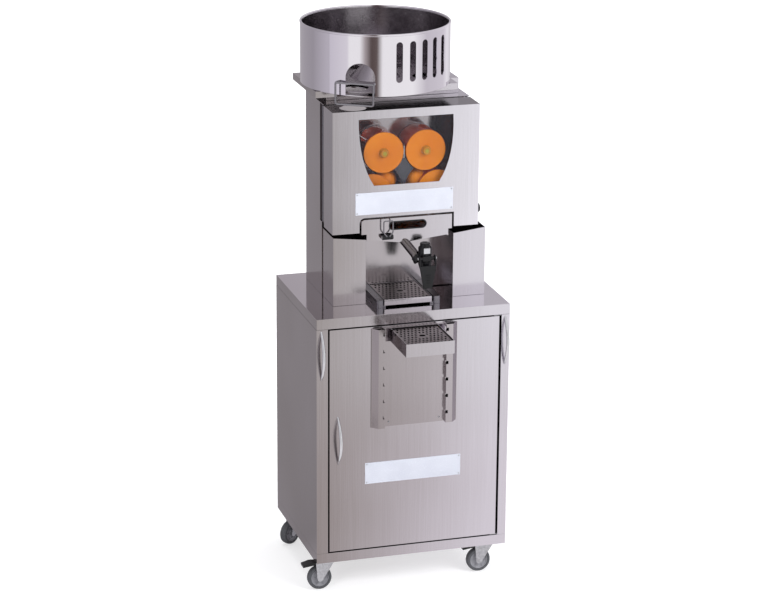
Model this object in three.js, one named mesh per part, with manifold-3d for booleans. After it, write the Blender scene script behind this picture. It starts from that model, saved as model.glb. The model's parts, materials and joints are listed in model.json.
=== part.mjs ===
// Automatic orange juicer on a wheeled cabinet.
// Lengths are millimetres. While it is modelled, x runs from the cabinet's left side to the
// right, y from its front to the back and z up from the floor. The finished group is moved so
// that its origin lies on the floor, under the middle of the whole machine.
import * as THREE from 'three';
import { mergeVertices } from 'three/addons/utils/BufferGeometryUtils.js';
import Module from 'manifold-3d';

const wasm = await Module();
wasm.setup();

// General clearances and stock
const gap = 0.3;
const overrun = 5;
const sheet = 2;
const fullTurn = 2 * Math.PI;
const quarterTurn = Math.PI / 2;
const degree = Math.PI / 180;
const weldDistance = 1e-4;

// Cabinet
const cabinetWidth = 600;
const cabinetDepth = 472;
const casterHeight = 100;
const baseRailHeight = 31;
const doorZoneHeight = 710;
const worktopLip = 32;
const leftStile = 35;
const rightStile = 26;
const stileReturn = 27;
const frontLip = 3;

// Door and its hinges
const doorThickness = 20;
const doorGapLeft = 5;
const doorGapRight = 7;
const doorGapEnds = 4;
const doorPivotIn = 8;
const hingePinRadius = 4;
const hingePinLength = 10;
const hingeLeafWidth = 10;
const catchHeight = 58;
const catchDepth = 21;
const catchBottomAbovePan = 331;

// Bow handles
const bowRadius = 5;
const doorBowStandoff = 35;
const doorBowSpan = 153;
const doorBowX = 66;
const doorBowBottom = 413;
const stileBowStandoff = 30;
const stileBowSpan = 155;
const stileBowBottom = 682;
const stileBowInset = 15;

// Notched rail bracket on the door
const bracketLeft = 167;
const bracketWidth = 267;
const bracketBottom = 522;
const bracketHeight = 310;
const railProud = 20;
const railBevel = 18;
const railFace = 21;
const railLegShare = 1.5;
const notchCount = 6;
const notchTopMargin = 16;
const notchBottomMargin = 34;
const notchHeight = 10;
const notchWidth = 7;

// Cup tray on the door
const cupTrayWidth = 148;
const cupTrayReach = 164;
const cupTrayHeight = 40;
const hangerThickness = 2;
const hangerLug = 9;

// Perforated grates
const grateThickness = 1.6;
const grateDrop = 4;
const grateMargin = 12;
const grateLedge = 5;
const holeRadius = 3.4;
const holeArcSteps = 3;
const holeColumns = 7;
const holeRows = 5;
const fingerSlotLength = 20;
const fingerSlotWidth = 9;
const fingerClearShare = 1.5;

// Casters
const casterInset = 46;
const casterTrail = 26;
const casterPlate = 62;
const casterPlateThickness = 3;
const wheelRadius = 37.5;
const wheelWidth = 23;
const wheelHubRadius = 26;
const wheelHubInset = 2.5;
const treadShare = 0.55;
const treadCornerShare = 0.125;
const axleRadius = 5;
const forkThickness = 3;
const forkSideGap = 2;
const forkHeadRadius = 24;
const forkHeadHeight = 6;
const forkEnd = 10;
const forkLegShare = 0.8;
const forkBridgeShare = 0.7;
const pedalWidth = 30;
const pedalThickness = 8;
const pedalStart = 32;
const pedalEnd = 80;
const pedalDrop = 6;
const pedalPinRadius = 3;
const casters = [
  { name: 'front_left', right: 0, back: 0, heading: 180, pedal: true },
  { name: 'front_right', right: 1, back: 0, heading: 180, pedal: true },
  { name: 'rear_left', right: 0, back: 1, heading: 214, pedal: false },
  { name: 'rear_right', right: 1, back: 1, heading: 195, pedal: false },
];

// Juicer housing on the worktop
const juicerLeft = 80;
const juicerWidth = 452;
const juicerHeight = 593;
const bayWallY = 230;
const housingFrontY = 250;
const housingBackY = 412;
const slitBottomAboveTop = 231;
const coverBottomAboveTop = 378;
const coverInset = 16;
const coverProud = 7;
const louvreCount = 9;
const louvreWidth = 6;
const louvreHeight = 60;
const plateThickness = 3;
const plateInset = 12;
const glandRadius = 11;
const glandBore = 5;
const glandLength = 18;
const glandX = 478;
const glandAboveTop = 47;

// Pressing drums: two upper drums with cups, two lower drums with balls, geared one to one
const upperAxisAboveTop = 455;
const pressMiddle = 308;
const gearPitchRadius = 65;
const lowerAxisOut = 36;
const discRadius = 61.5;
const discThickness = 4;
const discFrontY = 135;
const drumBackY = 228;
const drumRadius = 60;
const cupRadius = 38;
const ballRadius = 33;
const ballsPerDrum = 2;
const ballLead = 44;
const drumSegments = 26;
const shaftRadius = 8;
const shaftFrontY = 128;
const knobRadius = 12;
const knobFrontY = 121;
const gearTeeth = 16;
const gearAddendum = 5.5;
const gearDedendum = 6.5;
const gearThickness = 11;
const gearFrontY = 243;
const toothRootShare = 0.62;
const toothTipShare = 0.3;
const bushRadius = 14;
const bearingPlateThickness = 4;
const bearingPlateEdge = 8;
const knifeBottomRise = 22;
const knifeTopDrop = 22;
const knifeSteps = 12;
const knifeClear = 3.5;
const knifeFrontY = 142;
const bladeThickness = 2;
const bladeHeight = 40;
const motorBox = 76;
const motorBoxDepth = 40;
const motorRadius = 36;
const motorBackY = 392;
const motorArm = 60;
const slideOutShare = 0.85;
const slideUpShare = 0.72;

// Hood
const hoodFrontY = 112;
const hoodSideBackY = 207;
const hoodLift = 221;
const hoodTopGap = 2;
const noticeLeft = 169;
const tankPanelWidth = 281;
const tankPanelHeight = 45;
const tankPanelCorner = 10;
const tankPanelGap = 6;
const tankPanelDrop = 8;
const windowTopAbove = 565;
const windowBottomAbove = 363;
const windowTopLeft = 159;
const windowTopRight = 450;
const windowBottomLeft = 207;
const windowBottomRight = 408;
const windowLeftBulge = 1;
const windowRightBulge = 7;
const windowWaistShare = 0.36;
const windowPane = 3;
const windowLap = 9;
const dropX = 155;
const dropY = 160;
const dropRadius = 40;
const hingeRadius = 4;
const hingeY = 229;
const hingeIn = 5;
const hoodKnobRadius = 14;
const hoodKnobLength = 12;
const hoodKnobY = 140;
const hoodKnobAboveTop = 265;
const hoodKnobStem = 5;

// Peel bins
const binLeftX = 82;
const binWidth = 101;
const binRightX = 455;
const binOuterHeight = 211;
const binInnerHeight = 199;

// Juice tank, tap and clip
const tankLeft = 186;
const tankWidth = 254;
const tankFrontY = 116;
const tankBackY = 226;
const tankTopAbove = 223;
const tankSideHeight = 27;
const tankHopperDrop = 13;
const tankRunnerWidth = 6;
const outletX = 300;
const outletWidth = 30;
const spoutRadius = 13;
const spoutWall = 2;
const spoutBoreIn = 20;
const spoutTopY = 130;
const spoutTopAbove = 190;
const spoutEndX = 339;
const spoutEndY = 86;
const spoutEndAbove = 135;
const slotLeft = 254;
const slotWidth = 116;
const slotHeight = 25;
const slotRise = 9;
const strainerThickness = 2;
const strainerRim = 10;
const strainerColumns = 3;
const strainerRows = 3;
const strainerSlotWidth = 12;
const tapX = 355;
const tapY = 76;
const tapRadius = 20;
const tapTopAbove = 178;
const tapHeight = 66;
const tapCapRadius = 15;
const tapCapHeight = 10;
const tapNozzleRadius = 11;
const tapNozzleHeight = 14;
const tapSocketWall = 6;
const tapWaistShare = 0.85;
const tapYokeShare = 0.7;
const tapYokeRise = 8;
const leverPivotAbove = 144;
const leverPinRadius = 5;
const leverPinEnd = 4;
const leverTopWidth = 52;
const leverBottomWidth = 26;
const leverThickness = 6;
const leverFrontY = 42;
const leverBottomAbove = 54;
const leverNeckAbove = 124;
const clipX = 247;
const clipWidth = 34;
const clipRollerRadius = 8;
const clipRollerY = 104;
const clipRollerAbove = 205;
const clipWireRadius = 2;
const clipWireTopAbove = 257;
const clipWireSpan = 29;
const clipLugThickness = 2;

// Drip tray in the bay
const railLeftX = 203;
const railRightX = 379;
const railWidth = 21;
const railHeight = 23;
const railFrontY = 60;
const dripTrayWidth = 152;
const dripTrayHeight = 18;
const dripTrayLift = 6;
const railFoot = 5;

// Feeder plate, basket, rotor and guard
const feederLeft = 47;
const feederWidth = 438;
const feederFrontY = 180;
const feederBackY = 440;
const feederLip = 20;
const feederRise = 48;
const feederBoxLeft = 100;
const feederBoxWidth = 412;
const feederBoxFrontY = 255;
const feederBoxBackY = 400;
const basketX = 258;
const basketY = 280;
const basketRadius = 223;
const basketHeight = 185;
const basketRim = 3.5;
const basketSegments = 36;
const rimStart = -63;
const rimSweep = 306;
const rimSteps = 3;
const archTurn = 27.7;
const archWidth = 88;
const archHeight = 98;
const sightCount = 5;
const sightTurn = 11;
const sightFirst = -2;
const sightWidth = 20;
const sightHeight = 120;
const sightLift = 40;
const fruitHoleRadius = 46;
const rotorHoles = 6;
const rotorGap = 7;
const rotorLift = 6;
const rotorThickness = 3;
const rotorConeRadius = 74;
const rotorConeTop = 16;
const rotorConeHeight = 60;
const rotorShaftRadius = 9;
const rotorShaftClear = 8;
const guardTurn = 31.5;
const guardRod = 3;
const guardHalfWidth = 57;
const guardStandoff = 8;
const guardTopLift = 39;
const guardDrop = 24;
const guardCorner = 9;

// Levels and places that follow from the sizes above
const panTop = casterHeight + baseRailHeight;
const doorZoneTop = panTop + doorZoneHeight;
const worktop = doorZoneTop + worktopLip;
const juicerRight = juicerLeft + juicerWidth;
const juicerTop = worktop + juicerHeight;
const doorLeft = leftStile + doorGapLeft;
const doorRight = cabinetWidth - rightStile - doorGapRight;
const doorBottom = panTop + doorGapEnds;
const doorTop = doorZoneTop - doorGapEnds;
const pivotX = doorRight - doorPivotIn;
const upperAxisZ = worktop + upperAxisAboveTop;
const axisDrop = Math.sqrt((2 * gearPitchRadius) ** 2 - lowerAxisOut ** 2);
const lowerAxisZ = upperAxisZ - axisDrop;
const upperLeftX = pressMiddle - gearPitchRadius;
const upperRightX = pressMiddle + gearPitchRadius;
const lowerLeftX = upperLeftX - lowerAxisOut;
const lowerRightX = upperRightX + lowerAxisOut;
const feederTop = juicerTop + feederRise;
const rotorShaftLength = feederRise - rotorShaftClear;
const basketBottom = feederTop + gap;
const hoodBottom = worktop + hoodLift;
const hoodTop = juicerTop - sheet - gap;
const slitBottom = worktop + slitBottomAboveTop;
const bracketTop = bracketBottom + bracketHeight;
const notchPitch = (bracketHeight - notchTopMargin - notchBottomMargin) / (notchCount - 1);
const tankTop = worktop + tankTopAbove;
const tankPanelBottom = tankTop - tankPanelDrop;
const tankPanelTop = tankPanelBottom + tankPanelHeight;

// Finishes
function finish(color, roughness, metalness, opacity = 1) {
  const clear = opacity < 1;
  return new THREE.MeshStandardMaterial({ color, roughness, metalness, opacity, transparent: clear });
}
const brushedSteel = finish(0xb4aeb0, 0.32, 1);
const darkSteel = finish(0x6d6a6f, 0.4, 1);
const chrome = finish(0xd6d8dc, 0.12, 1);
const zinc = finish(0xb9bcc0, 0.38, 1);
const blackPlastic = finish(0x141416, 0.45, 0);
const orangePlastic = finish(0xf08a1c, 0.35, 0);
const greyPlastic = finish(0x3a3c42, 0.5, 0);
const greyRubber = finish(0x55575b, 0.75, 0);
const clearPane = finish(0xe8eef0, 0.05, 0, 0.25);
const brass = finish(0xb08d4a, 0.35, 1);
const motorPaint = finish(0x3b3f45, 0.55, 0.2);

// A geometry as one indexed closed surface with its faces pointing out
function closedSurface(source) {
  const bare = source.clone();
  bare.deleteAttribute('normal');
  bare.deleteAttribute('uv');
  const merged = mergeVertices(bare, weldDistance);
  const place = merged.getAttribute('position');
  const corners = [];
  const a = new THREE.Vector3();
  const b = new THREE.Vector3();
  const c = new THREE.Vector3();
  let volume = 0;
  for (let i = 0; i < merged.index.count; i += 3) {
    const [p, q, r] = [0, 1, 2].map((k) => merged.index.getX(i + k));
    if (p === q || q === r || r === p) continue;
    corners.push(p, q, r);
    a.fromBufferAttribute(place, p);
    b.fromBufferAttribute(place, q);
    c.fromBufferAttribute(place, r);
    volume += a.dot(b.cross(c));
  }
  if (volume < 0) corners.reverse();
  merged.setIndex(corners);
  return merged;
}

function solid(source) {
  const surface = closedSurface(source);
  return new wasm.Manifold(new wasm.Mesh({
    numProp: 3,
    vertProperties: new Float32Array(surface.getAttribute('position').array),
    triVerts: new Uint32Array(surface.index.array),
  }));
}

function geometryOf(body) {
  const mesh = body.getMesh();
  const geometry = new THREE.BufferGeometry();
  geometry.setAttribute('position', new THREE.BufferAttribute(new Float32Array(mesh.vertProperties), 3));
  geometry.setIndex(new THREE.BufferAttribute(new Uint32Array(mesh.triVerts), 1));
  return geometry;
}

function join(first, ...others) {
  return others.reduce((whole, other) => whole.add(other), first);
}

function cut(first, ...others) {
  return others.reduce((whole, other) => whole.subtract(other), first);
}

const model = new THREE.Group();

function addPiece(name, body, material) {
  const piece = new THREE.Mesh(geometryOf(body), material);
  piece.name = name;
  model.add(piece);
  return piece;
}

// Blocks, prisms, turned bodies and rods
function block(x0, x1, y0, y1, z0, z1) {
  const geometry = new THREE.BoxGeometry(x1 - x0, y1 - y0, z1 - z0);
  geometry.translate((x0 + x1) / 2, (y0 + y1) / 2, (z0 + z1) / 2);
  return solid(geometry);
}

function outline(points) {
  return new THREE.Shape(points.map(([u, v]) => new THREE.Vector2(u, v)));
}

// The outline is drawn in x and z, and the prism runs back from yFront
function prismAlongY(shape, yFront, depth, curveSegments = 12) {
  const geometry = new THREE.ExtrudeGeometry(shape, { depth, bevelEnabled: false, curveSegments });
  geometry.rotateX(quarterTurn).translate(0, yFront + depth, 0);
  return solid(geometry);
}

// The outline is drawn in y and z, and the prism runs right from xLeft
function prismAlongX(shape, xLeft, width, curveSegments = 12) {
  const geometry = new THREE.ExtrudeGeometry(shape, { depth: width, bevelEnabled: false, curveSegments });
  const turn = new THREE.Matrix4().makeBasis(
    new THREE.Vector3(0, 1, 0), new THREE.Vector3(0, 0, 1), new THREE.Vector3(1, 0, 0));
  geometry.applyMatrix4(turn).translate(xLeft, 0, 0);
  return solid(geometry);
}

// The outline is drawn in x and y, and the prism runs up from zBottom
function prismAlongZ(shape, zBottom, height, curveSegments = 12) {
  const geometry = new THREE.ExtrudeGeometry(shape, { depth: height, bevelEnabled: false, curveSegments });
  geometry.translate(0, 0, zBottom);
  return solid(geometry);
}

function circle(u, v, radius) {
  return new THREE.Shape().absarc(u, v, radius, 0, fullTurn);
}

// A slot with round ends, lying along u
function slot(u, v, length, width) {
  const reach = (length - width) / 2;
  const shape = new THREE.Shape();
  shape.absarc(u + reach, v, width / 2, -quarterTurn, quarterTurn);
  shape.absarc(u - reach, v, width / 2, quarterTurn, 3 * quarterTurn);
  return shape;
}

// Profile points are [radius, distance along the axis]
function turned(profile, segments) {
  return new THREE.LatheGeometry(profile.map(([r, s]) => new THREE.Vector2(r, s)), segments);
}

function turnedAlongY(profile, x, z, segments = 24) {
  return solid(turned(profile, segments).translate(x, 0, z));
}

function turnedAlongZ(profile, x, y, segments = 24) {
  return solid(turned(profile, segments).rotateX(quarterTurn).translate(x, y, 0));
}

function turnedAlongX(profile, y, z, segments = 24) {
  return solid(turned(profile, segments).rotateZ(-quarterTurn).translate(0, y, z));
}

function pinAlongX(x0, x1, y, z, radius, segments = 16) {
  return turnedAlongX([[0, x0], [radius, x0], [radius, x1], [0, x1]], y, z, segments);
}

function pinAlongY(y0, y1, x, z, radius, segments = 16) {
  return turnedAlongY([[0, y0], [radius, y0], [radius, y1], [0, y1]], x, z, segments);
}

function pinAlongZ(z0, z1, x, y, radius, segments = 16) {
  return turnedAlongZ([[0, z0], [radius, z0], [radius, z1], [0, z1]], x, y, segments);
}

function ball(x, y, z, radius, around = 12, down = 6) {
  return solid(new THREE.SphereGeometry(radius, around, down).translate(x, y, z));
}

// Straight runs joined by round corners
function roundedPath(points, corner) {
  const path = new THREE.CurvePath();
  let start = points[0];
  for (let i = 1; i < points.length - 1; i += 1) {
    const into = points[i].clone().sub(points[i - 1]).setLength(corner);
    const out = points[i + 1].clone().sub(points[i]).setLength(corner);
    const turnStart = points[i].clone().sub(into);
    const turnEnd = points[i].clone().add(out);
    path.add(new THREE.LineCurve3(start, turnStart));
    path.add(new THREE.QuadraticBezierCurve3(turnStart, points[i], turnEnd));
    start = turnEnd;
  }
  path.add(new THREE.LineCurve3(start, points[points.length - 1]));
  return path;
}

function rodGeometry(path, radius, steps) {
  return new THREE.ExtrudeGeometry(circle(0, 0, radius), {
    steps, extrudePath: path, bevelEnabled: false, curveSegments: 3 });
}

function rod(path, radius, steps) {
  return solid(rodGeometry(path, radius, steps));
}

// A box without a lid: the wall goes round the sides and under the floor
function openBox(x0, x1, y0, y1, z0, z1, wall) {
  const inside = block(x0 + wall, x1 - wall, y0 + wall, y1 - wall, z0 + wall, z1 + overrun);
  return cut(block(x0, x1, y0, y1, z0, z1), inside);
}

// Cabinet
function cabinetBody() {
  const z0 = panTop + gap;
  const z1 = doorZoneTop - gap;
  const outer = block(0, cabinetWidth, 0, cabinetDepth, z0, z1);
  const inner = block(sheet, cabinetWidth - sheet, sheet, cabinetDepth - sheet, z0 - overrun,
    z1 + overrun);
  const doorway = block(leftStile, cabinetWidth - rightStile, -overrun, sheet + overrun,
    z0 - overrun, z1 + overrun);
  const leftReturn = block(leftStile - sheet, leftStile, 0, stileReturn, z0, z1);
  const rightEdge = cabinetWidth - rightStile;
  const rightReturn = block(rightEdge, rightEdge + sheet, 0, stileReturn, z0, z1);
  return join(cut(outer, inner, doorway), leftReturn, rightReturn);
}

// The pan under the cabinet, with a welded pad above each caster
function basePan() {
  const half = casterPlate / 2;
  const pads = casters.map((caster) => {
    const [x, y] = casterPlace(caster);
    return block(x - half, x + half, y - half, y + half, casterHeight - casterPlateThickness,
      casterHeight + sheet / 2);
  });
  return join(openBox(0, cabinetWidth, 0, cabinetDepth, casterHeight, panTop, sheet), ...pads);
}

function worktopSheet() {
  const outer = block(0, cabinetWidth, 0, cabinetDepth, doorZoneTop, worktop);
  const inner = block(sheet, cabinetWidth - sheet, sheet, cabinetDepth - sheet,
    doorZoneTop - overrun, worktop - sheet);
  const ribY = cabinetDepth / 2;
  const rib = block(sheet, cabinetWidth - sheet, ribY, ribY + sheet, doorZoneTop + sheet,
    worktop - sheet / 2);
  return join(cut(outer, inner), rib);
}

// A bow that swells out from a face and lies flush on it at both ends, from z0 to z0 + span
function bowHandle(x, face, z0, span, standoff) {
  const foot = face + bowRadius;
  const crest = 2 * (face - standoff) - foot;
  const bow = new THREE.QuadraticBezierCurve3(new THREE.Vector3(x, foot, z0),
    new THREE.Vector3(x, crest, z0 + span / 2), new THREE.Vector3(x, foot, z0 + span));
  const behind = block(x - span, x + span, face - gap, face + span, z0 - span, z0 + 2 * span);
  return cut(rod(bow, bowRadius, 12), behind);
}

// A pin bracket in the gap above or below the door
function doorHinge(leafBottom, pinBottom, pinTop) {
  const leafLeft = pivotX - doorPivotIn;
  const leafRight = cabinetWidth - rightStile - gap;
  const leafFront = doorPivotIn - hingeLeafWidth / 2;
  const leaf = block(leafLeft, leafRight, leafFront, leafFront + hingeLeafWidth, leafBottom,
    leafBottom + sheet);
  return join(leaf, pinAlongZ(pinBottom, pinTop, pivotX, doorPivotIn, hingePinRadius));
}

function lowerDoorHinge() {
  const leafBottom = doorBottom - doorGapEnds / 2 - sheet / 2;
  return doorHinge(leafBottom, leafBottom + sheet / 2, doorBottom + hingePinLength);
}

function upperDoorHinge() {
  const leafBottom = doorTop + doorGapEnds / 2 - sheet / 2;
  return doorHinge(leafBottom, doorTop - hingePinLength, leafBottom + sheet / 2);
}

function doorCatch() {
  const z0 = panTop + catchBottomAbovePan;
  const rollerX = leftStile + doorGapLeft / 2 - gap / 2;
  const base = block(leftStile + gap, leftStile + gap + sheet, frontLip, frontLip + catchDepth,
    z0, z0 + catchHeight);
  const nose = pinAlongZ(z0 + catchHeight / 4, z0 + 3 * catchHeight / 4, rollerX,
    frontLip + catchDepth / 2, doorGapLeft / 2 - gap);
  return join(base, nose);
}

// Door
function doorPanel() {
  const outer = block(doorLeft, doorRight, 0, doorThickness, doorBottom, doorTop);
  const inner = block(doorLeft + sheet, doorRight - sheet, sheet, doorThickness + overrun,
    doorBottom + sheet, doorTop - sheet);
  const pinHole = pinAlongZ(doorBottom - overrun, doorTop + overrun, pivotX, doorPivotIn,
    hingePinRadius + gap);
  return cut(outer, inner, pinHole);
}

// One hat rail in x and y, its bevel on the outer side
function hatRail(outerX, direction, sink) {
  const bevelX = outerX + direction * railBevel;
  const innerX = outerX + direction * (railBevel + railFace);
  const side = direction * sink;
  return outline([
    [outerX + railLegShare * side, -sink], [bevelX + side / 2, sink - railProud],
    [innerX - side, sink - railProud], [innerX - side, -sink],
  ]);
}

function railBracket() {
  const right = bracketLeft + bracketWidth;
  let body = block(bracketLeft, right, -sheet - gap, -gap, bracketBottom, bracketTop);
  for (const [outerX, direction] of [[bracketLeft, 1], [right, -1]]) {
    const hat = prismAlongZ(hatRail(outerX, direction, gap), bracketBottom, bracketHeight);
    const hollow = prismAlongZ(hatRail(outerX, direction, sheet + gap), bracketBottom - overrun,
      bracketHeight + 2 * overrun);
    const edge = outerX + direction * (railBevel + railFace);
    body = join(body, cut(hat, hollow));
    for (let i = 0; i < notchCount; i += 1) {
      const z = bracketTop - notchTopMargin - i * notchPitch;
      const ends = [edge - direction * notchWidth, edge + direction * overrun];
      body = cut(body, block(Math.min(...ends), Math.max(...ends), -railProud - overrun,
        -railProud / 2, z - notchHeight / 2, z + notchHeight / 2));
    }
  }
  return body;
}

// A tray with inner ledges that carry its grate
function trayWithLedges(x0, x1, y0, y1, z0, z1) {
  const ledgeTop = z1 - grateDrop - grateThickness - gap;
  const leftLedge = block(x0 + sheet / 2, x0 + sheet + grateLedge, y0 + sheet / 2, y1 - sheet / 2,
    ledgeTop - sheet, ledgeTop);
  const rightLedge = block(x1 - sheet - grateLedge, x1 - sheet / 2, y0 + sheet / 2, y1 - sheet / 2,
    ledgeTop - sheet, ledgeTop);
  return join(openBox(x0, x1, y0, y1, z0, z1, sheet), leftLedge, rightLedge);
}

// A perforated plate: staggered rows of round holes and a slot for a fingertip
function grate(x0, x1, y0, y1, top) {
  const plate = outline([[x0, y0], [x1, y0], [x1, y1], [x0, y1]]);
  const width = x1 - x0 - 2 * grateMargin;
  const depth = y1 - y0 - 2 * grateMargin;
  const pitch = width / (holeColumns - 1);
  const rowPitch = depth / (holeRows - 1);
  const middleX = (x0 + x1) / 2;
  const middleY = (y0 + y1) / 2;
  for (let row = 0; row < holeRows; row += 1) {
    const shift = row % 2;
    for (let column = 0; column < holeColumns - shift; column += 1) {
      const x = x0 + grateMargin + (column + shift / 2) * pitch;
      const y = y0 + grateMargin + row * rowPitch;
      const nearSlot = Math.abs(x - middleX) < fingerSlotLength / 2 + 2 * holeRadius
        && Math.abs(y - middleY) < fingerSlotWidth / 2 + fingerClearShare * holeRadius;
      if (!nearSlot) plate.holes.push(new THREE.Path().absarc(x, y, holeRadius, 0, fullTurn));
    }
  }
  const finger = prismAlongZ(slot(middleX, middleY, fingerSlotLength, fingerSlotWidth),
    top - grateThickness - overrun, grateThickness + 2 * overrun, 4);
  return cut(prismAlongZ(plate, top - grateThickness, grateThickness, holeArcSteps), finger);
}

const cupTrayX0 = bracketLeft + bracketWidth / 2 - cupTrayWidth / 2 - frontLip / 2;
const cupTrayX1 = cupTrayX0 + cupTrayWidth;
const cupTrayBackY = -sheet - 2 * gap;
const cupTrayTop = bracketTop - sheet;

function cupTray() {
  const z0 = cupTrayTop - cupTrayHeight;
  const innerLeft = bracketLeft + railBevel + railFace + gap;
  const innerRight = bracketLeft + bracketWidth - railBevel - railFace - gap;
  const lugZ = bracketTop - notchTopMargin;
  const pan = trayWithLedges(cupTrayX0, cupTrayX1, -cupTrayReach, cupTrayBackY, z0, cupTrayTop);
  const hanger = block(innerLeft, innerRight, cupTrayBackY - hangerThickness, cupTrayBackY, z0, cupTrayTop);
  const lugs = [innerLeft, innerRight - hangerThickness].map((x) => block(x, x + hangerThickness,
    cupTrayBackY - hangerThickness - hangerLug, cupTrayBackY - hangerThickness / 2,
    lugZ - notchHeight, lugZ + notchHeight));
  return join(pan, hanger, ...lugs);
}

function cupTrayGrate() {
  const rim = sheet + 2 * gap;
  return grate(cupTrayX0 + rim, cupTrayX1 - rim, -cupTrayReach + rim, cupTrayBackY - rim,
    cupTrayTop - grateDrop);
}

// Casters: each is drawn with its swivel axis at the origin and its wheel trailing along +x
const casterPlateBottom = casterHeight - casterPlateThickness;
const forkTop = casterPlateBottom - gap;
const forkInner = wheelWidth / 2 + forkSideGap;

function casterPlace(caster) {
  const span = [cabinetWidth - 2 * casterInset, cabinetDepth - 2 * casterInset];
  return [casterInset + caster.right * span[0], casterInset + caster.back * span[1]];
}

function casterFork(withPedal) {
  const headBottom = forkTop - forkHeadHeight;
  const legTop = headBottom + sheet;
  const head = pinAlongZ(headBottom, forkTop, 0, 0, forkHeadRadius, 14);
  const leg = new THREE.Shape();
  leg.moveTo(-forkHeadRadius * forkLegShare, legTop);
  leg.lineTo(casterTrail - forkEnd, wheelRadius);
  leg.absarc(casterTrail, wheelRadius, forkEnd, Math.PI, fullTurn);
  if (withPedal) {
    leg.lineTo(pedalStart + pedalThickness, legTop - pedalThickness);
    leg.lineTo(pedalStart + pedalThickness, legTop);
  }
  leg.lineTo(forkHeadRadius * forkLegShare, legTop);
  const legs = [-forkInner - forkThickness, forkInner].map((y) =>
    prismAlongY(leg, y, forkThickness, 3));
  const axle = pinAlongY(-forkInner - forkThickness / 2, forkInner + forkThickness / 2, casterTrail,
    wheelRadius, axleRadius, 8);
  const bridgeReach = forkHeadRadius * forkBridgeShare;
  const bridge = block(-bridgeReach, bridgeReach, -forkInner - forkThickness / 2,
    forkInner + forkThickness / 2, headBottom, legTop);
  const parts = [head, ...legs, axle, bridge];
  if (withPedal) {
    const pinZ = legTop - pedalThickness / 2 - sheet / 2;
    parts.push(pinAlongY(-forkInner - forkThickness / 2, forkInner + forkThickness / 2,
      pedalStart + pedalThickness / 2, pinZ, pedalPinRadius, 8));
  }
  return join(...parts);
}

function casterWheel() {
  const half = wheelWidth / 2;
  const bore = axleRadius + gap;
  const shoulder = wheelRadius - wheelWidth * treadCornerShare;
  const face = half - wheelHubInset;
  const rimEdge = wheelHubRadius + sheet / 2;
  return turnedAlongY([
    [bore, -face], [wheelHubRadius, -face], [rimEdge, -half], [shoulder, -half],
    [wheelRadius, -half * treadShare], [wheelRadius, half * treadShare], [shoulder, half],
    [rimEdge, half], [wheelHubRadius, face], [bore, face], [bore, -face],
  ], casterTrail, wheelRadius, 12);
}

function brakePedal() {
  const legTop = forkTop - forkHeadHeight + sheet;
  const pinX = pedalStart + pedalThickness / 2;
  const pinZ = legTop - pedalThickness / 2 - sheet / 2;
  const half = pedalThickness / 2;
  const side = new THREE.Shape();
  side.moveTo(pinX - half, pinZ - half);
  side.lineTo(pinX + half, pinZ - half - sheet / 2);
  side.lineTo(pedalEnd, pinZ - half - pedalDrop);
  side.lineTo(pedalEnd, pinZ - pedalDrop / 2);
  side.lineTo((pinX + pedalEnd) / 2, pinZ + half - sheet / 2);
  side.lineTo(pinX - half, pinZ + half);
  const neck = prismAlongY(side, -forkInner + gap * 2, 2 * (forkInner - gap * 2), 6);
  const padStart = pinX + pedalThickness + sheet;
  const pad = prismAlongY(side, -pedalWidth / 2, pedalWidth, 6).intersect(
    block(padStart, pedalEnd + overrun, -pedalWidth, pedalWidth, 0, casterHeight));
  const bore = pinAlongY(-pedalWidth, pedalWidth, pinX, pinZ, pedalPinRadius + gap, 8);
  return cut(join(neck, pad), bore);
}

// Housing
function housingShell() {
  const x0 = juicerLeft;
  const x1 = juicerRight;
  const z0 = worktop + gap;
  const shell = block(x0, x1, housingFrontY, housingBackY, z0, juicerTop);
  const inside = block(x0 + sheet, x1 - sheet, housingFrontY + sheet, housingBackY - sheet,
    z0 + sheet, juicerTop - sheet);
  const gearReach = gearPitchRadius + gearAddendum + overrun;
  const gearWindow = block(lowerLeftX - gearReach, lowerRightX + gearReach, housingFrontY - overrun,
    housingFrontY + sheet + overrun, lowerAxisZ - gearReach, upperAxisZ + gearReach);
  const coverZ0 = worktop + coverBottomAboveTop;
  const rearWindow = block(x0 + 2 * coverInset, x1 - 2 * coverInset, housingBackY - sheet - overrun,
    housingBackY + overrun, coverZ0 + coverInset, juicerTop - 2 * coverInset);
  const cheeks = [[x0, slitBottom], [x1 - sheet, hoodBottom - gap]].map(([x, top]) =>
    block(x, x + sheet, bayWallY, housingFrontY + sheet / 2, z0, top));
  const eaves = block(x0, x1, hoodSideBackY + overrun, housingFrontY + sheet, juicerTop - sheet,
    juicerTop);
  const glandHole = pinAlongY(housingBackY - sheet - overrun, housingBackY + overrun, glandX,
    worktop + glandAboveTop, glandBore + sheet);
  return join(cut(shell, inside, gearWindow, rearWindow, glandHole), ...cheeks, eaves);
}

function rearCover() {
  const x0 = juicerLeft + coverInset;
  const x1 = juicerRight - coverInset;
  const z0 = worktop + coverBottomAboveTop;
  const z1 = juicerTop - coverInset;
  const y1 = housingBackY + coverProud;
  const pan = block(x0, x1, housingBackY + gap, y1, z0, z1);
  const hollow = block(x0 + sheet, x1 - sheet, housingBackY - overrun, y1 - sheet, z0 + sheet,
    z1 - sheet);
  const pitch = (x1 - x0 - 4 * coverInset) / (louvreCount - 1);
  const slots = [];
  for (let i = 0; i < louvreCount; i += 1) {
    const x = x0 + 2 * coverInset + i * pitch;
    slots.push(block(x - louvreWidth / 2, x + louvreWidth / 2, y1 - sheet - overrun, y1 + overrun,
      z0 + 2 * coverInset, z0 + 2 * coverInset + louvreHeight));
  }
  return cut(pan, hollow, ...slots);
}

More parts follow.
